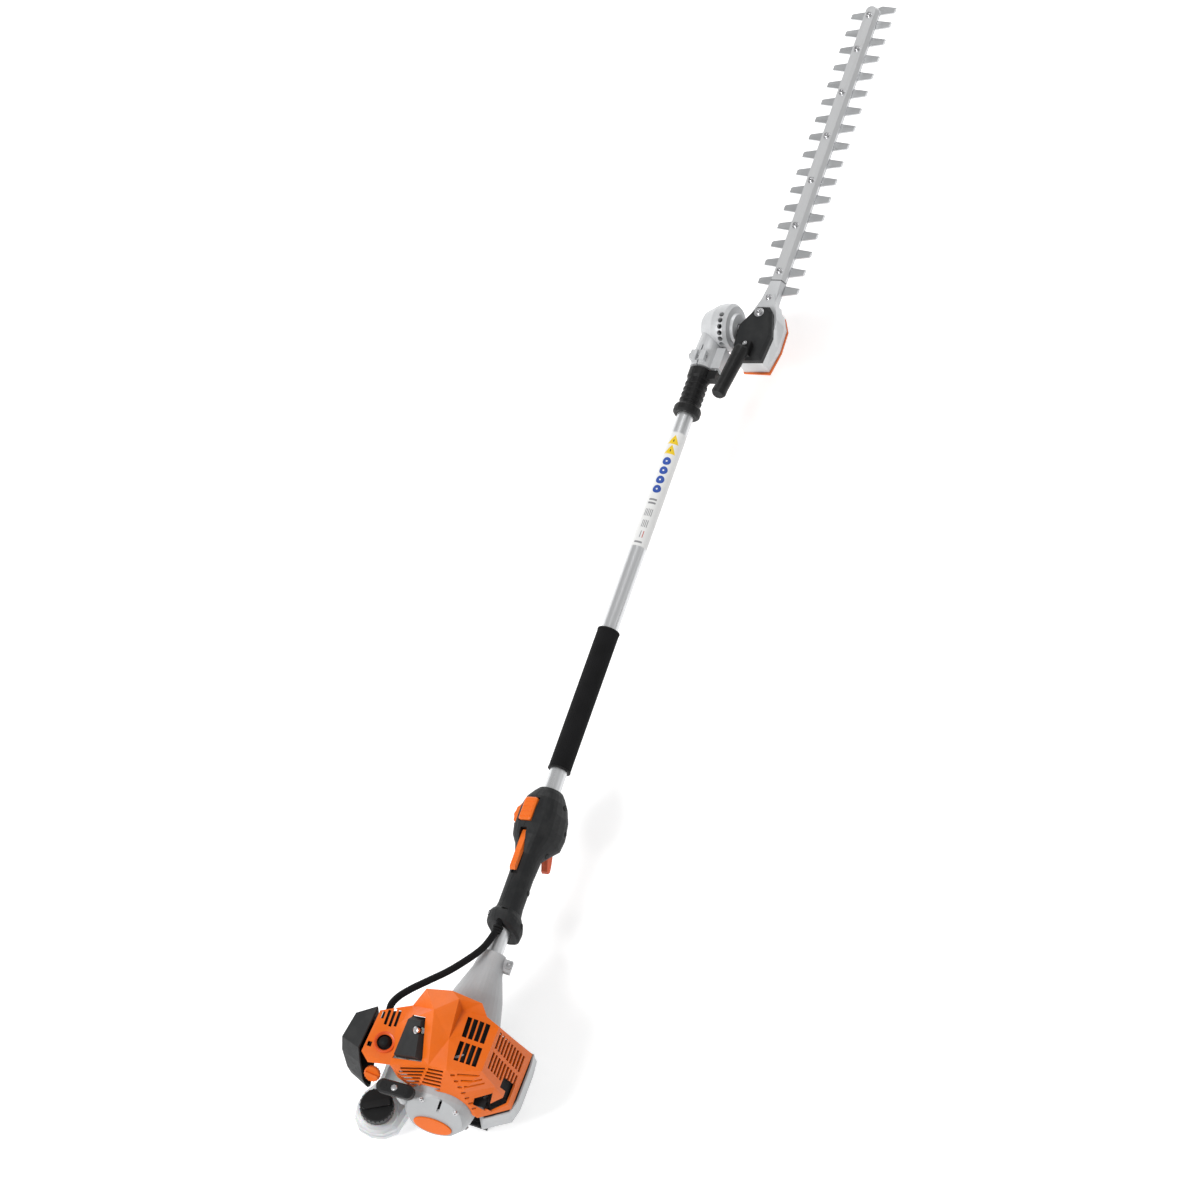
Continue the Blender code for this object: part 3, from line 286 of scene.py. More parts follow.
def translucent(name, colour):
    """Milky moulded fuel tank: light passes a little way into the plastic."""
    shader = Shader(name)
    vector = shader.stretched((1, 1, 1))
    drift = shader.noise(vector, 18.0, 3.0)
    shader.feed("Base Color", shader.mixed(shader.ranged(drift, 0, 1), shade(colour, 0.94),
                                           shade(colour, 1.03)))
    shader.feed("Roughness", shader.ranged(shader.noise(vector, 160.0, 3.0), 0.3, 0.42))
    shader.feed("Normal", shader.bump(shader.noise(vector, 700.0, 3.0), 0.08, 0.0004))
    shader.set(Subsurface_Weight=0.35, Subsurface_Scale=0.006, Transmission_Weight=0.12, IOR=1.5)
    return shader.material


ORANGE = (0.84, 0.15, 0.003)
DARK = (0.0125, 0.0135, 0.0145)
BLACK = (0.005, 0.005, 0.0054)
LIGHT = (0.45, 0.46, 0.47)


def make_materials():
    along = (0.03, 1, 1)               # grain drawn out along the tube and the bar
    return {
        "orange": surface("orange_plastic", ORANGE, 0.38, variation=0.05, grain=(1300, 0.12), wear_and_highlight=0.12,
                          coat=0.06, dust=0.02, specular=0.3),
        "orange_red": surface("orange_red_plastic", (0.85, 0.1, 0.01), 0.35, variation=0.06,
                              grain=(1300, 0.1)),
        "dark": surface("dark_plastic", DARK, 0.52, variation=0.12, grain=(1100, 0.3), wear_and_highlight=0.06,
                        dust=0.02, specular=0.28),
        "black": surface("black_plastic", BLACK, 0.46, variation=0.15, grain=(1000, 0.25), wear_and_highlight=0.05,
                         specular=0.3),
        "rubber": surface("black_rubber", (0.006, 0.006, 0.0065), 0.65, variation=0.2, grain=(700, 0.35),
                          dust=0.02, specular=0.25),
        "light": surface("light_plastic", LIGHT, 0.42, variation=0.04, grain=(1200, 0.2), wear_and_highlight=0.2,
                         dust=0.05),
        "tube": surface("satin_tube", (0.74, 0.75, 0.76), 0.3, 0.85, variation=0.04, grain=(1500, 0.1),
                        stretch=along, uneven=0.1),
        "cast": surface("painted_casting", (0.62, 0.63, 0.64), 0.42, 0.35, variation=0.05,
                        grain=(800, 0.4), wear_and_highlight=0.3, dust=0.04),
        "raw_cast": surface("raw_casting", (0.5, 0.51, 0.52), 0.5, 0.8, variation=0.1, grain=(500, 0.6)),
        "bar": surface("brushed_bar", (0.7, 0.71, 0.72), 0.34, 0.7, variation=0.06, grain=(1500, 0.15),
                       stretch=along, wear_and_highlight=0.3),
        "blade": surface("ground_steel", (0.55, 0.56, 0.57), 0.3, 0.9, variation=0.08, grain=(1600, 0.18),
                         stretch=(1, 0.05, 0.05), wear_and_highlight=0.5),
        "steel": surface("bright_steel", (0.6, 0.6, 0.61), 0.26, 1.0, variation=0.06, grain=(1600, 0.1),
                         wear_and_highlight=0.3),
        "muffler": surface("heat_black", (0.02, 0.019, 0.018), 0.65, 0.3, variation=0.3, grain=(600, 0.4),
                           dust=0.08),
        # painted shade: black for counterbores, hollows, the gap at the bar's root and the sheets behind the
        # vents
        "painted_shade": surface("shadow_black", (0.004, 0.004, 0.0045), 0.8, variation=0.2, grain=(900, 0.2)),
        "grey": surface("label_grey", (0.3, 0.3, 0.31), 0.4, variation=0.08, grain=(1500, 0.05)),
        "red": surface("label_red", (0.6, 0.03, 0.02), 0.4, variation=0.06, grain=(1500, 0.05)),
        "clear_hose": translucent("fuel_hose", (0.5, 0.42, 0.25)),
        "white": surface("label_white", (0.86, 0.86, 0.85), 0.35, variation=0.03, grain=(1500, 0.05)),
        "yellow": surface("label_yellow", (0.9, 0.62, 0.02), 0.35, variation=0.04, grain=(1500, 0.05)),
        "blue": surface("label_blue", (0.03, 0.09, 0.42), 0.35, variation=0.05, grain=(1500, 0.05)),
        "cord": braided("starter_cord", (0.7, 0.7, 0.68)),
        "braid": braided("braided_sleeve", (0.011, 0.011, 0.012)),
        "foam": foam("foam_rubber", (0.008, 0.008, 0.0085)),
        "tank": translucent("milky_tank", (0.72, 0.735, 0.75)),
    }


NODE_LOOKS = {
    "orange": "engine_shroud starter_badge choke_lever trigger_lockout stop_switch speed_wheel base_plate",
    "orange_red": "throttle_trigger",
    "dark": "plug_cover air_filter_cover handle_shell_left handle_shell_right gear_cover",
    "black": "ignition_module rope_pulley starter_grip stand_foot fuel_cap shaft_bush locking_sleeve "
             "swivel_lever",
    "rubber": "primer_bulb throttle_cable_sleeve",
    "light": "clutch_housing starter_housing lower_housing",
    "tube": "drive_tube",
    "bar": "guide_bar",
    "blade": "upper_blade lower_blade",
    "steel": "crankshaft_rear crankshaft_front crank_pin connecting_rod piston_pin spark_plug clutch_shoes "
             "clutch_drum tube_clamp_screw plug_cover_screw drive_shaft head_clamp_screw lock_bolt "
             "lock_spring bevel_pinion cross_shaft crank_gear",
    "raw_cast": "crankcase cylinder carburettor piston flywheel",
    "cast": "swivel_housing index_ring blade_gear_housing",
    "muffler": "muffler",
    "tank": "fuel_tank",
    "foam": "hose_grip air_filter",
    "cord": "starter_rope",
}
ROUNDED_NODES = {                      # node: bevel width in mm
    "engine_shroud": 0.9, "plug_cover": 1.4, "air_filter_cover": 1.6, "starter_badge": 0.4,
    "starter_housing": 0.8, "clutch_housing": 0.8, "lower_housing": 1.0, "fuel_tank": 1.5, "fuel_cap": 0.7,
    "handle_shell_left": 0.7, "handle_shell_right": 0.7, "stop_switch": 0.9, "throttle_trigger": 1.2,
    "trigger_lockout": 1.0, "speed_wheel": 0.5, "locking_sleeve": 0.5, "swivel_housing": 0.9,
    "index_ring": 0.5, "blade_gear_housing": 0.9, "gear_cover": 1.0, "base_plate": 0.6, "guide_bar": 0.7,
    "upper_blade": 0.5, "lower_blade": 0.5, "swivel_lever": 1.0, "starter_grip": 1.2, "muffler": 1.5,
    "stand_foot": 1.2, "choke_lever": 0.6, "tube_clamp_screw": 0.3, "head_clamp_screw": 0.3,
    "plug_cover_screw": 0.3, "carburettor": 0.6,
}
SHROUD_CREASE = 26                     # degrees; creases shallower than this are shaded smooth
BEVEL_FROM = math.radians(28)


def dress_nodes(materials):
    for look, names in NODE_LOOKS.items():
        for name in names.split():
            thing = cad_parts[name]
            thing.data.materials.clear()
            thing.data.materials.append(materials[look])
    smooth_creases(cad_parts["engine_shroud"], SHROUD_CREASE)
    for name, width in ROUNDED_NODES.items():
        soften(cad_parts[name], width)


def soften(thing, width, segments=2):
    bevel = thing.modifiers.new("edges", "BEVEL")
    bevel.width = width * MM
    bevel.segments = segments
    bevel.limit_method = "ANGLE"
    bevel.angle_limit = BEVEL_FROM
    bevel.harden_normals = True


# ---------------------------------------------------------------- shapes: (points, faces)

def circle(count, start=0.0):
    return [start + 2 * math.pi * k / count for k in range(count)]


def basis(direction):
    """A direction and two more, square to it."""
    along = Vector(direction).normalized()
    side = Z.cross(along) if abs(along.z) < 0.9 else X.cross(along)
    side.normalize()
    return along, side, along.cross(side)


def band(a, b):
    """Faces between two rings of point numbers, either of which may be a single point."""
    count = max(len(a), len(b))
    faces = []
    for k in range(count):
        n = (k + 1) % count
        if len(a) == 1:
            faces.append((a[0], b[k], b[n]))
        elif len(b) == 1:
            faces.append((a[k], a[n], b[0]))
        else:
            faces.append((a[k], a[n], b[n], b[k]))
    return faces


def turned(profile, origin=(0, 0, 0), direction=X, count=32):
    """Revolve (distance along, radius) points; a profile off the axis closes into a ring."""
    along, side, up = basis(direction)
    points, rings = [], []
    for distance, radius in profile:
        centre = Vector(origin) + along * distance
        if radius == 0:
            rings.append([len(points)])
            points.append(centre)
            continue
        rings.append(list(range(len(points), len(points) + count)))
        points += [centre + (side * math.cos(a) + up * math.sin(a)) * radius for a in circle(count)]
    pairs = list(zip(rings, rings[1:]))
    if profile[0][1] > 0 and profile[-1][1] > 0:
        pairs.append((rings[-1], rings[0]))
    return points, [face for a, b in pairs for face in band(a, b)]


def loft(rings, closed=True):
    """Join rings of equally many points, with flat ends when it is closed."""
    size = len(rings[0])
    points = [Vector(p) for ring in rings for p in ring]
    faces = []
    for start in range(0, size * (len(rings) - 1), size):
        a = list(range(start, start + size))
        faces += band(a, [k + size for k in a])
    if closed:
        faces.append(tuple(range(size)))
        faces.append(tuple(range(len(points) - size, len(points))))
    return points, faces


def prism(outline, low, high):
    """An outline in X and Y, raised from one level to another."""
    return loft([[(a, b, level) for a, b in outline] for level in (low, high)])


def together(*shapes):
    points, faces = [], []
    for more_points, more_faces in shapes:
        base = len(points)
        points += more_points
        faces += [tuple(base + k for k in face) for face in more_faces]
    return points, faces


def placed(shape, matrix):
    return [matrix @ Vector(p) for p in shape[0]], shape[1]


def socket_head(radius, height, recess=0.45, sides=6, count=24, washer=0.0):
    """A cap screw standing on z = 0, with a many-sided key socket and an optional washer below."""
    outer = [(0.0, radius), (height * 0.82, radius), (height, radius * 0.86)]
    if washer:
        outer = [(0.0, washer), (0.7, washer), (0.9, washer * 0.94), (0.9, radius)] + \
                [(0.9 + d, r) for d, r in outer[1:]]
        height += 0.9
    points, rings = [], []
    for level, r in outer:
        rings.append(list(range(len(points), len(points) + count)))
        points += [Vector((r * math.cos(a), r * math.sin(a), level)) for a in circle(count)]
    for level in (height, height * 0.45):
        ring = []
        for a in circle(count):
            lobe = 1.0 + 0.10 * math.cos(a * sides)
            key = radius * recess * lobe
            ring.append(Vector((key * math.cos(a), key * math.sin(a), level)))
        rings.append(list(range(len(points), len(points) + count)))
        points += ring
    faces = [face for a, b in zip(rings, rings[1:]) for face in band(a, b)]
    faces.append(tuple(rings[-1]))
    faces.append(tuple(rings[0]))
    return points, faces


def stand_on(origin, direction, shape):
    """Move a shape that stands on z = 0 to a place, standing along a direction."""
    along, side, up = basis(direction)
    turn = Matrix((side, up, along)).transposed().to_4x4()
    return placed(shape, Matrix.Translation(Vector(origin)) @ turn)


# ---------------------------------------------------------------- pieces

def mesh_piece(name, shape, body, matrix, material, smooth=35, bevel=0.0):
    points, faces = shape
    mesh = bpy.data.meshes.new(name)
    mesh.from_pydata([matrix @ Vector(p) for p in points], [], faces)
    work = bmesh.new()
    work.from_mesh(mesh)
    bmesh.ops.recalc_face_normals(work, faces=work.faces)
    work.to_mesh(mesh)
    work.free()
    mesh.shade_smooth()
    mesh.set_sharp_from_angle(angle=math.radians(smooth))
    piece = bpy.data.objects.new(name, mesh)
    bpy.context.collection.objects.link(piece)
    if material is not None:
        mesh.materials.append(material)
    if bevel:
        soften(piece, bevel)
    if body is not None:
        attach(piece, body)
    return piece


def tube_mesh(path, radius, count=16, per_turn=6.0):
    """A tube round a path, with coordinates along and round it for a woven look."""
    points, faces, uvs = [], [], []
    path = [Vector(p) for p in path]
    side = None
    length = 0.0
    lengths = []
    for k, here in enumerate(path):
        ahead = path[min(k + 1, len(path) - 1)] - path[max(k - 1, 0)]
        along = ahead.normalized()
        if side is None:
            side = along.orthogonal().normalized()
        side = (side - along * side.dot(along)).normalized()
        up = along.cross(side)
        if k:
            length += (here - path[k - 1]).length
        lengths.append(length)
        for a in circle(count):
            points.append(here + (side * math.cos(a) + up * math.sin(a)) * radius)
    around = 2 * math.pi * radius
    for k in range(len(path) - 1):
        for n in range(count):
            m = (n + 1) % count
            faces.append((k * count + n, k * count + m, (k + 1) * count + m, (k + 1) * count + n))
            low, high = n / count * per_turn, (n + 1) / count * per_turn
            near, far = lengths[k] / around * per_turn, lengths[k + 1] / around * per_turn
            uvs += [(near, low), (near, high), (far, high), (far, low)]
    return points, faces, uvs


def sleeve_piece(name, path, radius, body, matrix, material, count=16, per_turn=6.0):
    points, faces, uvs = tube_mesh(path, radius, count, per_turn)
    mesh = bpy.data.meshes.new(name)
    mesh.from_pydata([matrix @ p for p in points], [], faces)
    layer = mesh.uv_layers.new(name="sleeve")
    for loop, uv in zip(layer.data, uvs):
        loop.uv = uv
    mesh.shade_smooth()
    mesh.materials.append(material)
    piece = bpy.data.objects.new(name, mesh)
    bpy.context.collection.objects.link(piece)
    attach(piece, body)
    return piece


def smooth_route(route, steps):
    """A Catmull-Rom curve through the points of a route."""
    route = [Vector(p) for p in route]
    padded = [route[0] * 2 - route[1]] + route + [route[-1] * 2 - route[-2]]
    points = []
    for a, b, c, d in zip(padded, padded[1:], padded[2:], padded[3:]):
        for step in range(steps):
            t = step / steps
            points.append(0.5 * (2 * b + (c - a) * t + (2 * a - 5 * b + 4 * c - d) * t * t
                                 + (3 * b - a - 3 * c + d) * t ** 3))
    return points + [route[-1]]


# ---------------------------------------------------------------- detail, by region

def seat(node, matrix, start, direction, sink=0.0):
    """Where a line first meets a node: a frame in millimetres whose Z stands square on the surface."""
    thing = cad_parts[node]
    inverse = thing.matrix_world.inverted()
    world_start = matrix @ Vector(start)
    world_end = matrix @ (Vector(start) + Vector(direction))
    local_start = inverse @ world_start
    hit, place, normal, _ = thing.ray_cast(local_start, (inverse @ world_end - local_start).normalized())
    if not hit:
        raise ValueError(f"no surface of {node} under {start}")
    place = thing.matrix_world @ place
    along, side, up = basis((thing.matrix_world.to_3x3() @ normal).normalized())
    turn = Matrix((side, up, along)).transposed().to_4x4()
    return Matrix.Translation(place - along * sink * MM) @ turn @ Matrix.Scale(MM, 4)


def screw(name, node, matrix, start, direction, body, m, radius, height, washer=0.0):
    """A cap screw standing on a node, found by looking from a point along a direction."""
    spot = seat(node, matrix, start, direction, 0.2)
    head = socket_head(radius, height, washer=washer)
    mesh_piece(name, head, body, spot, m["steel"], bevel=0.15)


def recessed_screw(name, node, matrix, start, direction, body, m, radius=4.4, look="steel"):
    """A screw sunk in a counterbore whose black is painted shade."""
    spot = seat(node, matrix, start, direction, 0.3)
    rim = [(0.0, radius), (0.55, radius), (0.75, radius - 0.4), (0.45, radius - 0.8), (0.4, 0)]
    mesh_piece(name + "_recess_shade", turned([(0.0, 0)] + rim, direction=Z, count=28), body, spot, m["painted_shade"])
    mesh_piece(name, placed(socket_head(radius * 0.62, 0.5), Matrix.Translation((0, 0, 0.35))), body, spot,
               m[look])


def disc_ring(low, high, inner, outer, centre, direction=Z, count=40):
    """A flat ring between two distances along its axis."""
    return turned([(low, inner), (low, outer), (high, outer), (high, inner)], centre, direction, count)


def nose_section(x, inset):
    """Half a hexagon over the bar, where it leaves the gear housing."""
    side = [(12.9 - inset, -17.9), (12.9 - inset, -15.9), (8.9 - inset, -7.9 - inset / 2)]
    return ([(x, BLADE_Y - half, z) for half, z in side]
            + [(x, BLADE_Y + half, z) for half, z in reversed(side)])


def cutter_detail(m):
    for number, x in enumerate(BAR_SCREWS):
        head = stand_on((x, BLADE_Y, BAR_TOP), Z, socket_head(4.3, 2.6, washer=5.8))
        mesh_piece(f"bar_screw_{number + 1}", head, "cutter_head", HEAD, m["steel"], bevel=0.15)
    above, below = 60, -90             # where the screws are let down or raised from
    screw("cover_screw", "gear_cover", HEAD, (24, -68, above), -Z, "cutter_head", m, 5.8, 3.2, 7.8)
    screw("lever_root_screw", "swivel_lever", HEAD, (-38.5, -69, above), -Z, "cutter_head", m, 3.6, 2.2)
    screw("neck_screw", "blade_gear_housing", HEAD, (60, BLADE_Y, above), -Z, "cutter_head", m, 3.9, 2.4, 5.2)
    for number, (x, y) in enumerate(((-42, -50), (12, -93), (-48, -84))):
        screw(f"plate_screw_{number + 1}", "base_plate", HEAD, (x, y, below), Z, "cutter_head", m, 3.2, 1.6)
    crown = together(disc_ring(19.0, 19.6, 0.0, 9.0, (0, 0, 0), Y, 36),
                     disc_ring(19.5, 20.2, 5.5, 8.2, (0, 0, 0), Y, 36))
    mesh_piece("pivot_cap", crown, "frame", HEAD, m["cast"])
    # a black ring where the bar leaves the gear housing: painted shade in the gap
    seam = loft([nose_section(94, 0.0), nose_section(95, 0.2)])
    mesh_piece("nose_gap_shade", seam, "cutter_head", HEAD, m["painted_shade"])


def wrapped(outline, centre, tilt, radius, rings=5):
    """A flat outline (along, across) laid on a round tube, its middle at a height and an angle."""
    points, faces = [], []
    for ring in range(1, rings + 1):
        for a, b in outline:
            along, angle = centre + a * ring / rings, tilt + b * ring / rings / radius
            points.append(Vector((along, radius * math.cos(angle), radius * math.sin(angle))))
    points.append(Vector((centre, radius * math.cos(tilt), radius * math.sin(tilt))))
    size = len(outline)
    for ring in range(rings - 1):
        faces += band([ring * size + k for k in range(size)], [ring * size + size + k for k in range(size)])
    faces += [(len(points) - 1, k, (k + 1) % size) for k in range(size)]
    return points, faces


def disc_outline(radius, count=28):
    return [(radius * math.cos(a), radius * math.sin(a)) for a in circle(count)]


def bar_outline(long, wide, steps=6):
    """A small oblong with enough points on its short ends to follow the tube."""
    ends = [(-1 + 2 * k / steps) * wide / 2 for k in range(steps + 1)]
    return [(-long / 2, b) for b in ends] + [(long / 2, b) for b in reversed(ends)]


def triangle_outline(size, steps=5):
    tip, base, half = size * 0.62, -size * 0.42, size * 0.62
    corners = [Vector((tip, 0)), Vector((base, half)), Vector((base, -half))]
    points = []
    for a, b in zip(corners, corners[1:] + corners[:1]):
        points += [tuple(a.lerp(b, k / steps)) for k in range(steps)]
    return points


def printed(name, outline, x, m, look, lift=0.0, offset=0.0):
    """A shape printed on the label, a little way off its middle line."""
    shape = wrapped(outline, x, LABEL_UP + offset / 13, PRINT_R + lift)
    mesh_piece(name, shape, "frame", ENGINE, m[look])


def pole_detail(m):
    """A plain label of coloured shapes and ruled lines, and a collar at each end of the foam grip."""
    rings = []
    for x in (796, 797, 860, 925, 990, 991):
        r = 12.72 if x in (796, 991) else BAND_R
        rings.append([(x, r * math.cos(a), r * math.sin(a)) for a in circle(48)])
    mesh_piece("label_band", loft(rings, closed=False), "frame", ENGINE, m["white"])
    for number, x in enumerate((976, 959)):
        printed(f"label_triangle_{number + 1}", triangle_outline(15), x, m, "yellow")
        printed(f"label_mark_{number + 1}", bar_outline(3.6, 1.4, 2), x - 0.6, m, "black", 0.12)
    for number, x in enumerate((940, 924, 908, 892)):
        printed(f"label_disc_{number + 1}", disc_outline(6.6), x, m, "blue")
        printed(f"label_dot_{number + 1}", disc_outline(1.5, 16), x, m, "white", 0.1)
    broad, fine = 12, 1.1              # widths round the tube
    rules = [(874, 3.0, broad, 0.0, "grey"), (868, 3.0, broad, 0.0, "grey")]
    rules += [(852, 12, fine, 5.2 - 2.6 * k, "grey") for k in range(5)]
    rules += [(833, 12, fine, 4.4 - 2.6 * k, "grey") for k in range(4)]
    rules += [(815, 11, fine, 3.5, "red"), (815, 11, fine, -0.5, "grey"), (802, 3.0, broad, 0.0, "grey")]
    for number, (x, long, wide, offset, look) in enumerate(rules):
        printed(f"label_line_{number + 1}", bar_outline(long, wide), x, m, look, offset=offset)
    for number, x in enumerate((434.4, 657.6)):
        collar = disc_ring(x - 1.2, x + 1.2, 12.72, 16.9, (0, 0, 0), X, 40)
        mesh_piece(f"grip_collar_{number + 1}", collar, "frame", ENGINE, m["rubber"], bevel=0.5)


def cross_rib(x, half, low, high, bottom, top):
    """A straight rib across a button, from one side to the other."""
    return prism([(x - half, low), (x + half, low), (x + half, high), (x - half, high)], bottom, top)


def handle_detail(m):
    recessed_screw("flange_screw", "handle_shell_left", HANDLE, (-84, 33, 45), (0, -11, -15), "frame", m, 4.0)
    recessed_screw("bulb_screw", "handle_shell_left", HANDLE, (99, 60, 45), (0, -20, -15), "frame", m, 3.6)
    shell_screws = ((-88, -10), (-40, -8), (20, -14), (92, -8), (60, -26))
    for number, (x, z) in enumerate(shell_screws):
        recessed_screw(f"shell_screw_{number + 1}", "handle_shell_right", HANDLE, (x, -60, z), Y, "frame", m,
                       4.2, "black")
    for number, (x, low, high) in enumerate(((-101.6, 5.0, 7.6), (-105.5, 5.0, 6.9), (-109, 5.0, 6.2))):
        ring = disc_ring(0, 2.6, low, high, (x - 2.2, 0, 0), X, 28)
        mesh_piece(f"hose_gland_{number + 1}", placed(ring, Matrix.Translation((0, -7, 17.5))), "frame",
                   HANDLE, m["rubber"], bevel=0.5)
    for k in range(4):
        rib = cross_rib(60 + 7.5 * k, 0.9, -6.5, 11, 33.4, 34.2)
        mesh_piece(f"switch_rib_{k + 1}", rib, "stop_switch", HANDLE, m["orange"], bevel=0.25)
    for k in range(6):
        rib = cross_rib(-11 + 4.4 * k, 0.6, -3.8, 3.8, 24.4, 25.4)
        mesh_piece(f"lockout_rib_{k + 1}", rib, "lockout", HANDLE, m["orange"], bevel=0.2)


VENT_SHADE_SHEETS = [                             # dark sheets a little way under the vents of the engine cover: painted shade, so the vents look dark inside
    [(41, -4, 86), (40, -42, 80), (-24, -42, 79), (-30, -5, 78)],
    [(35, -44, 78), (33, -63, 45), (32, -88, 3), (-36, -86, 3), (-28, -62, 45), (-20, -43, 80)],
    [(-33, 24, 69), (-32, -4, 78), (-55, 5, 44), (-54, 36, 34), (-44, 66, 26), (-38, 70, 36)],
    [(-31, -6, 78), (-24, -44, 77), (-34, -60, 42), (-50, -50, 20), (-48, -28, 48)],
    [(30, 84, 34), (24, 112, 25), (-34, 114, 25), (-40, 84, 25)],
]


def shade_sheet(corners):
    """A thin dark sheet with the given corners: painted shade behind a vent."""
    points = [Vector(p) for p in corners]
    middle = sum(points, Vector()) / len(points)
    normal = (points[1] - points[0]).cross(points[2] - points[0]).normalized() * 0.5
    size = len(points)
    lower = [p - normal for p in points] + [middle - normal]
    upper = [p + normal for p in points] + [middle + normal]
    faces = [(size, (k + 1) % size, k) for k in range(size)]
    faces += [(2 * size + 1, size + 1 + k, size + 1 + (k + 1) % size) for k in range(size)]
    faces += [(k, (k + 1) % size, size + 1 + (k + 1) % size, size + 1 + k) for k in range(size)]
    return lower + upper, faces


def throttle_hose(m):
    """The braided sleeve drawn round the CAD sleeve's own route."""
    route = smooth_route(HOSE_ROUTE, 10)
    hose = sleeve_piece("braided_hose", route, HOSE_R, "frame", ENGINE, m["braid"], 20)
    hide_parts("throttle_cable_sleeve")


def cover_detail(m):
    # black sheets under the vents: painted shade
    for number, corners in enumerate(VENT_SHADE_SHEETS):
        mesh_piece(f"vent_shade_sheet_{number + 1}", shade_sheet(corners), "frame", ENGINE, m["painted_shade"], smooth=5)
    rim = [(-1.0, 10.4), (-1.0, 14.6), (1.2, 14.6), (2.0, 13.8), (1.6, 12.4), (0.0, 10.5)]
    mesh_piece("primer_ring", turned(rim, PRIMER_RIM, Z, 40), "frame", ENGINE, m["orange_red"])


def tank_detail(m):
    """Ribs round the cap, the neck's collar, and the seam where the tank's halves meet."""
    ribs = []
    for a in circle(24):
        rib = prism([(22.2, -1.3), (23.4, -0.8), (23.4, 0.8), (22.2, 1.3)], -37, -19)
        ribs.append(placed(rib, Matrix.Translation(FUEL_CAP) @ Matrix.Rotation(a, 4, "Z")))
    mesh_piece("cap_ribs", together(*ribs), "fuel_cap", ENGINE, m["black"], bevel=0.3)
    collar = disc_ring(-42.5, -40.6, 18.2, 24.4, FUEL_CAP, Z, 48)
    mesh_piece("cap_collar", collar, "frame", ENGINE, m["tank"], bevel=0.4)

    middle = Vector((-40, 50))
    seam = []
    for grow, level in ((0.2, -77), (1.0, -76.4), (1.0, -74.6), (0.2, -74)):
        seam.append([(a + (a - middle.x) / 90 * grow, b + (b - middle.y) / 70 * grow, level)
                     for a, b in TANK_LINE])
    mesh_piece("tank_seam", loft(seam, closed=False), "frame", ENGINE, m["tank"])


def starter_grip_detail(m):
    """The steel cap over the rope's knot, and a shallow hollow to each side of it, drawn black as painted
    shade.
    """
    knot = turned([(5.6, 0), (5.6, 4.6), (7.3, 4.6), (8.3, 3.8), (8.6, 2.0), (8.6, 0)], GRIP, GRIP_PULL, 24)
    mesh_piece("grip_cap", knot, "starter_grip", ENGINE, m["steel"], bevel=0.2)
    across = (Y - GRIP_PULL * GRIP_PULL.y).normalized()
    for side in (-1, 1):
        hollow = turned([(6.6, 0), (6.6, 4.8), (7.15, 4.8), (7.3, 4.3), (7.05, 3.9), (7.05, 0)],
                        GRIP + across * 16 * side, GRIP_PULL, 28)
        mesh_piece(f"grip_hollow_shade_{side + 2}", hollow, "starter_grip", ENGINE, m["painted_shade"])


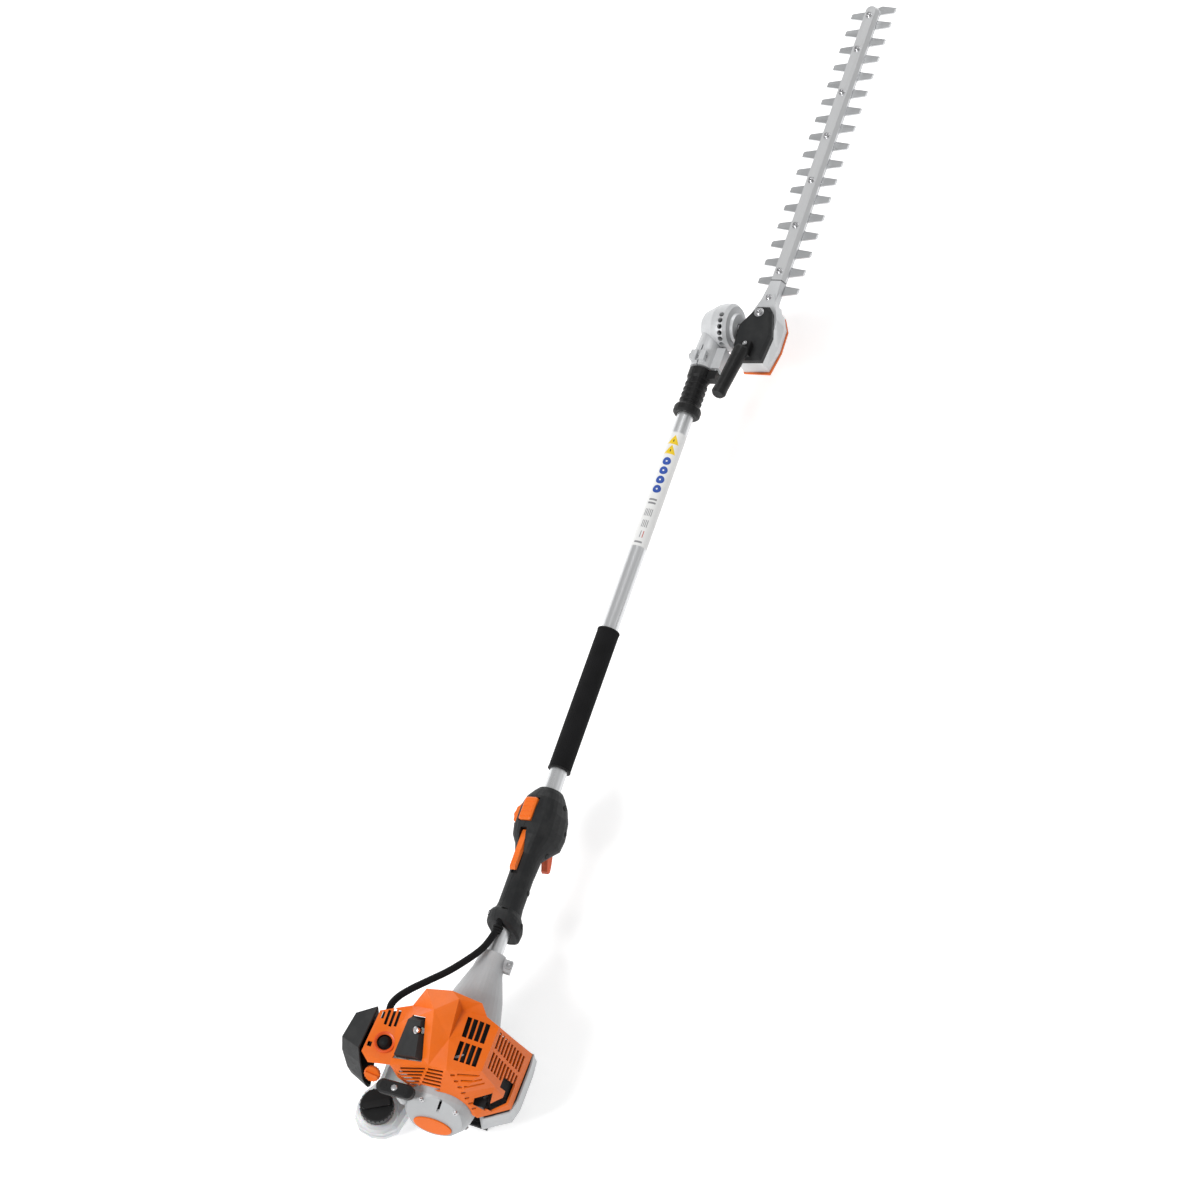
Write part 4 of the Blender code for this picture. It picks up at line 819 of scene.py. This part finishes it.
def engine_fittings(m):
    """Screws of the covers, the exhaust outlet, the fuel lines and the bosses of the foot."""
    for number, angle in enumerate((62, 128, 200, 332)):
        y, z = 44.5 * math.cos(math.radians(angle)), 44.5 * math.sin(math.radians(angle))
        screw(f"starter_screw_{number + 1}", "starter_housing", ENGINE, (-160, y, z), X, "frame", m,
              3.2, 2.0, 4.2)
    recessed_screw("filter_screw", "air_filter_cover", ENGINE, (-22, 250, 4), -Y, "frame", m, 6.0)
    for number, (x, z) in enumerate(((-17, 8), (17, 8), (0, -12))):
        screw(f"muffler_screw_{number + 1}", "muffler", ENGINE, (x, -160, z), Y, "frame", m, 3.4, 2.2, 5.0)
    outlet = turned([(-3, 0), (-3, 5.6), (9, 5.6), (9, 4.4), (-2, 4.4), (-2, 0)], (26, -64, 0), X, 24)
    mesh_piece("exhaust_outlet", outlet, "frame", ENGINE, m["muffler"])
    for number, (y, x) in enumerate(((72, -16), (84, -8))):
        line = smooth_route([(x - 6, y - 16, -52), (x - 6, y - 14, -40), (x - 2, y - 4, -26), (x, y, -12)], 8)
        fuel = sleeve_piece(f"fuel_line_{number + 1}", line, 2.3, "frame", ENGINE, m["clear_hose"], 14)
    for number, (x, y) in enumerate(((-46, -44), (46, -44), (-46, 44), (46, 44))):
        pad = turned([(-1.2, 0), (-1.2, 8), (1.4, 8), (2.0, 7.4), (2.0, 0)], (x, y, -102), Z, 24)
        mesh_piece(f"foot_boss_{number + 1}", pad, "frame", ENGINE, m["black"])


def choke_knurl(m):
    knurl = []
    for a in circle(18):
        tooth = prism([(10.4, -0.9), (11.5, -0.5), (11.5, 0.5), (10.4, 0.9)], -1.9, 1.9)
        knurl.append(placed(tooth, Matrix.Rotation(a, 4, "Z")))
    knob = stand_on(CHOKE_KNOB, CHOKE_AXIS, together(*knurl))
    mesh_piece("choke_ribs", knob, "choke", ENGINE, m["orange"])


def smooth_creases(thing, degrees):
    """Shade across shallow creases and keep the steep ones sharp."""
    tree = bpy.data.node_groups.new("shallow_creases", "GeometryNodeTree")
    tree.interface.new_socket("Geometry", in_out="INPUT", socket_type="NodeSocketGeometry")
    tree.interface.new_socket("Geometry", in_out="OUTPUT", socket_type="NodeSocketGeometry")
    start, end = tree.nodes.new("NodeGroupInput"), tree.nodes.new("NodeGroupOutput")
    angle = tree.nodes.new("GeometryNodeInputMeshEdgeAngle")
    compare = tree.nodes.new("FunctionNodeCompare")
    compare.data_type, compare.operation = "FLOAT", "LESS_EQUAL"
    compare.inputs["B"].default_value = math.radians(degrees)
    faces = tree.nodes.new("GeometryNodeSetShadeSmooth")
    edges = tree.nodes.new("GeometryNodeSetShadeSmooth")
    faces.domain, edges.domain = "FACE", "EDGE"
    for a, b in ((start.outputs[0], faces.inputs[0]),
                 (faces.outputs[0], edges.inputs[0]), (edges.outputs[0], end.inputs[0]),
                 (angle.outputs["Unsigned Angle"], compare.inputs["A"]),
                 (compare.outputs["Result"], edges.inputs["Shade Smooth"])):
        tree.links.new(a, b)
    modifier = thing.modifiers.new("creases", "NODES")
    modifier.node_group = tree


def main():
    look_from_photo_angle()
    studio()
    materials = make_materials()
    dress_nodes(materials)
    cutter_detail(materials)
    pole_detail(materials)
    handle_detail(materials)
    for detail in (throttle_hose, cover_detail, tank_detail, starter_grip_detail, engine_fittings,
                   choke_knurl):
        detail(materials)


main()
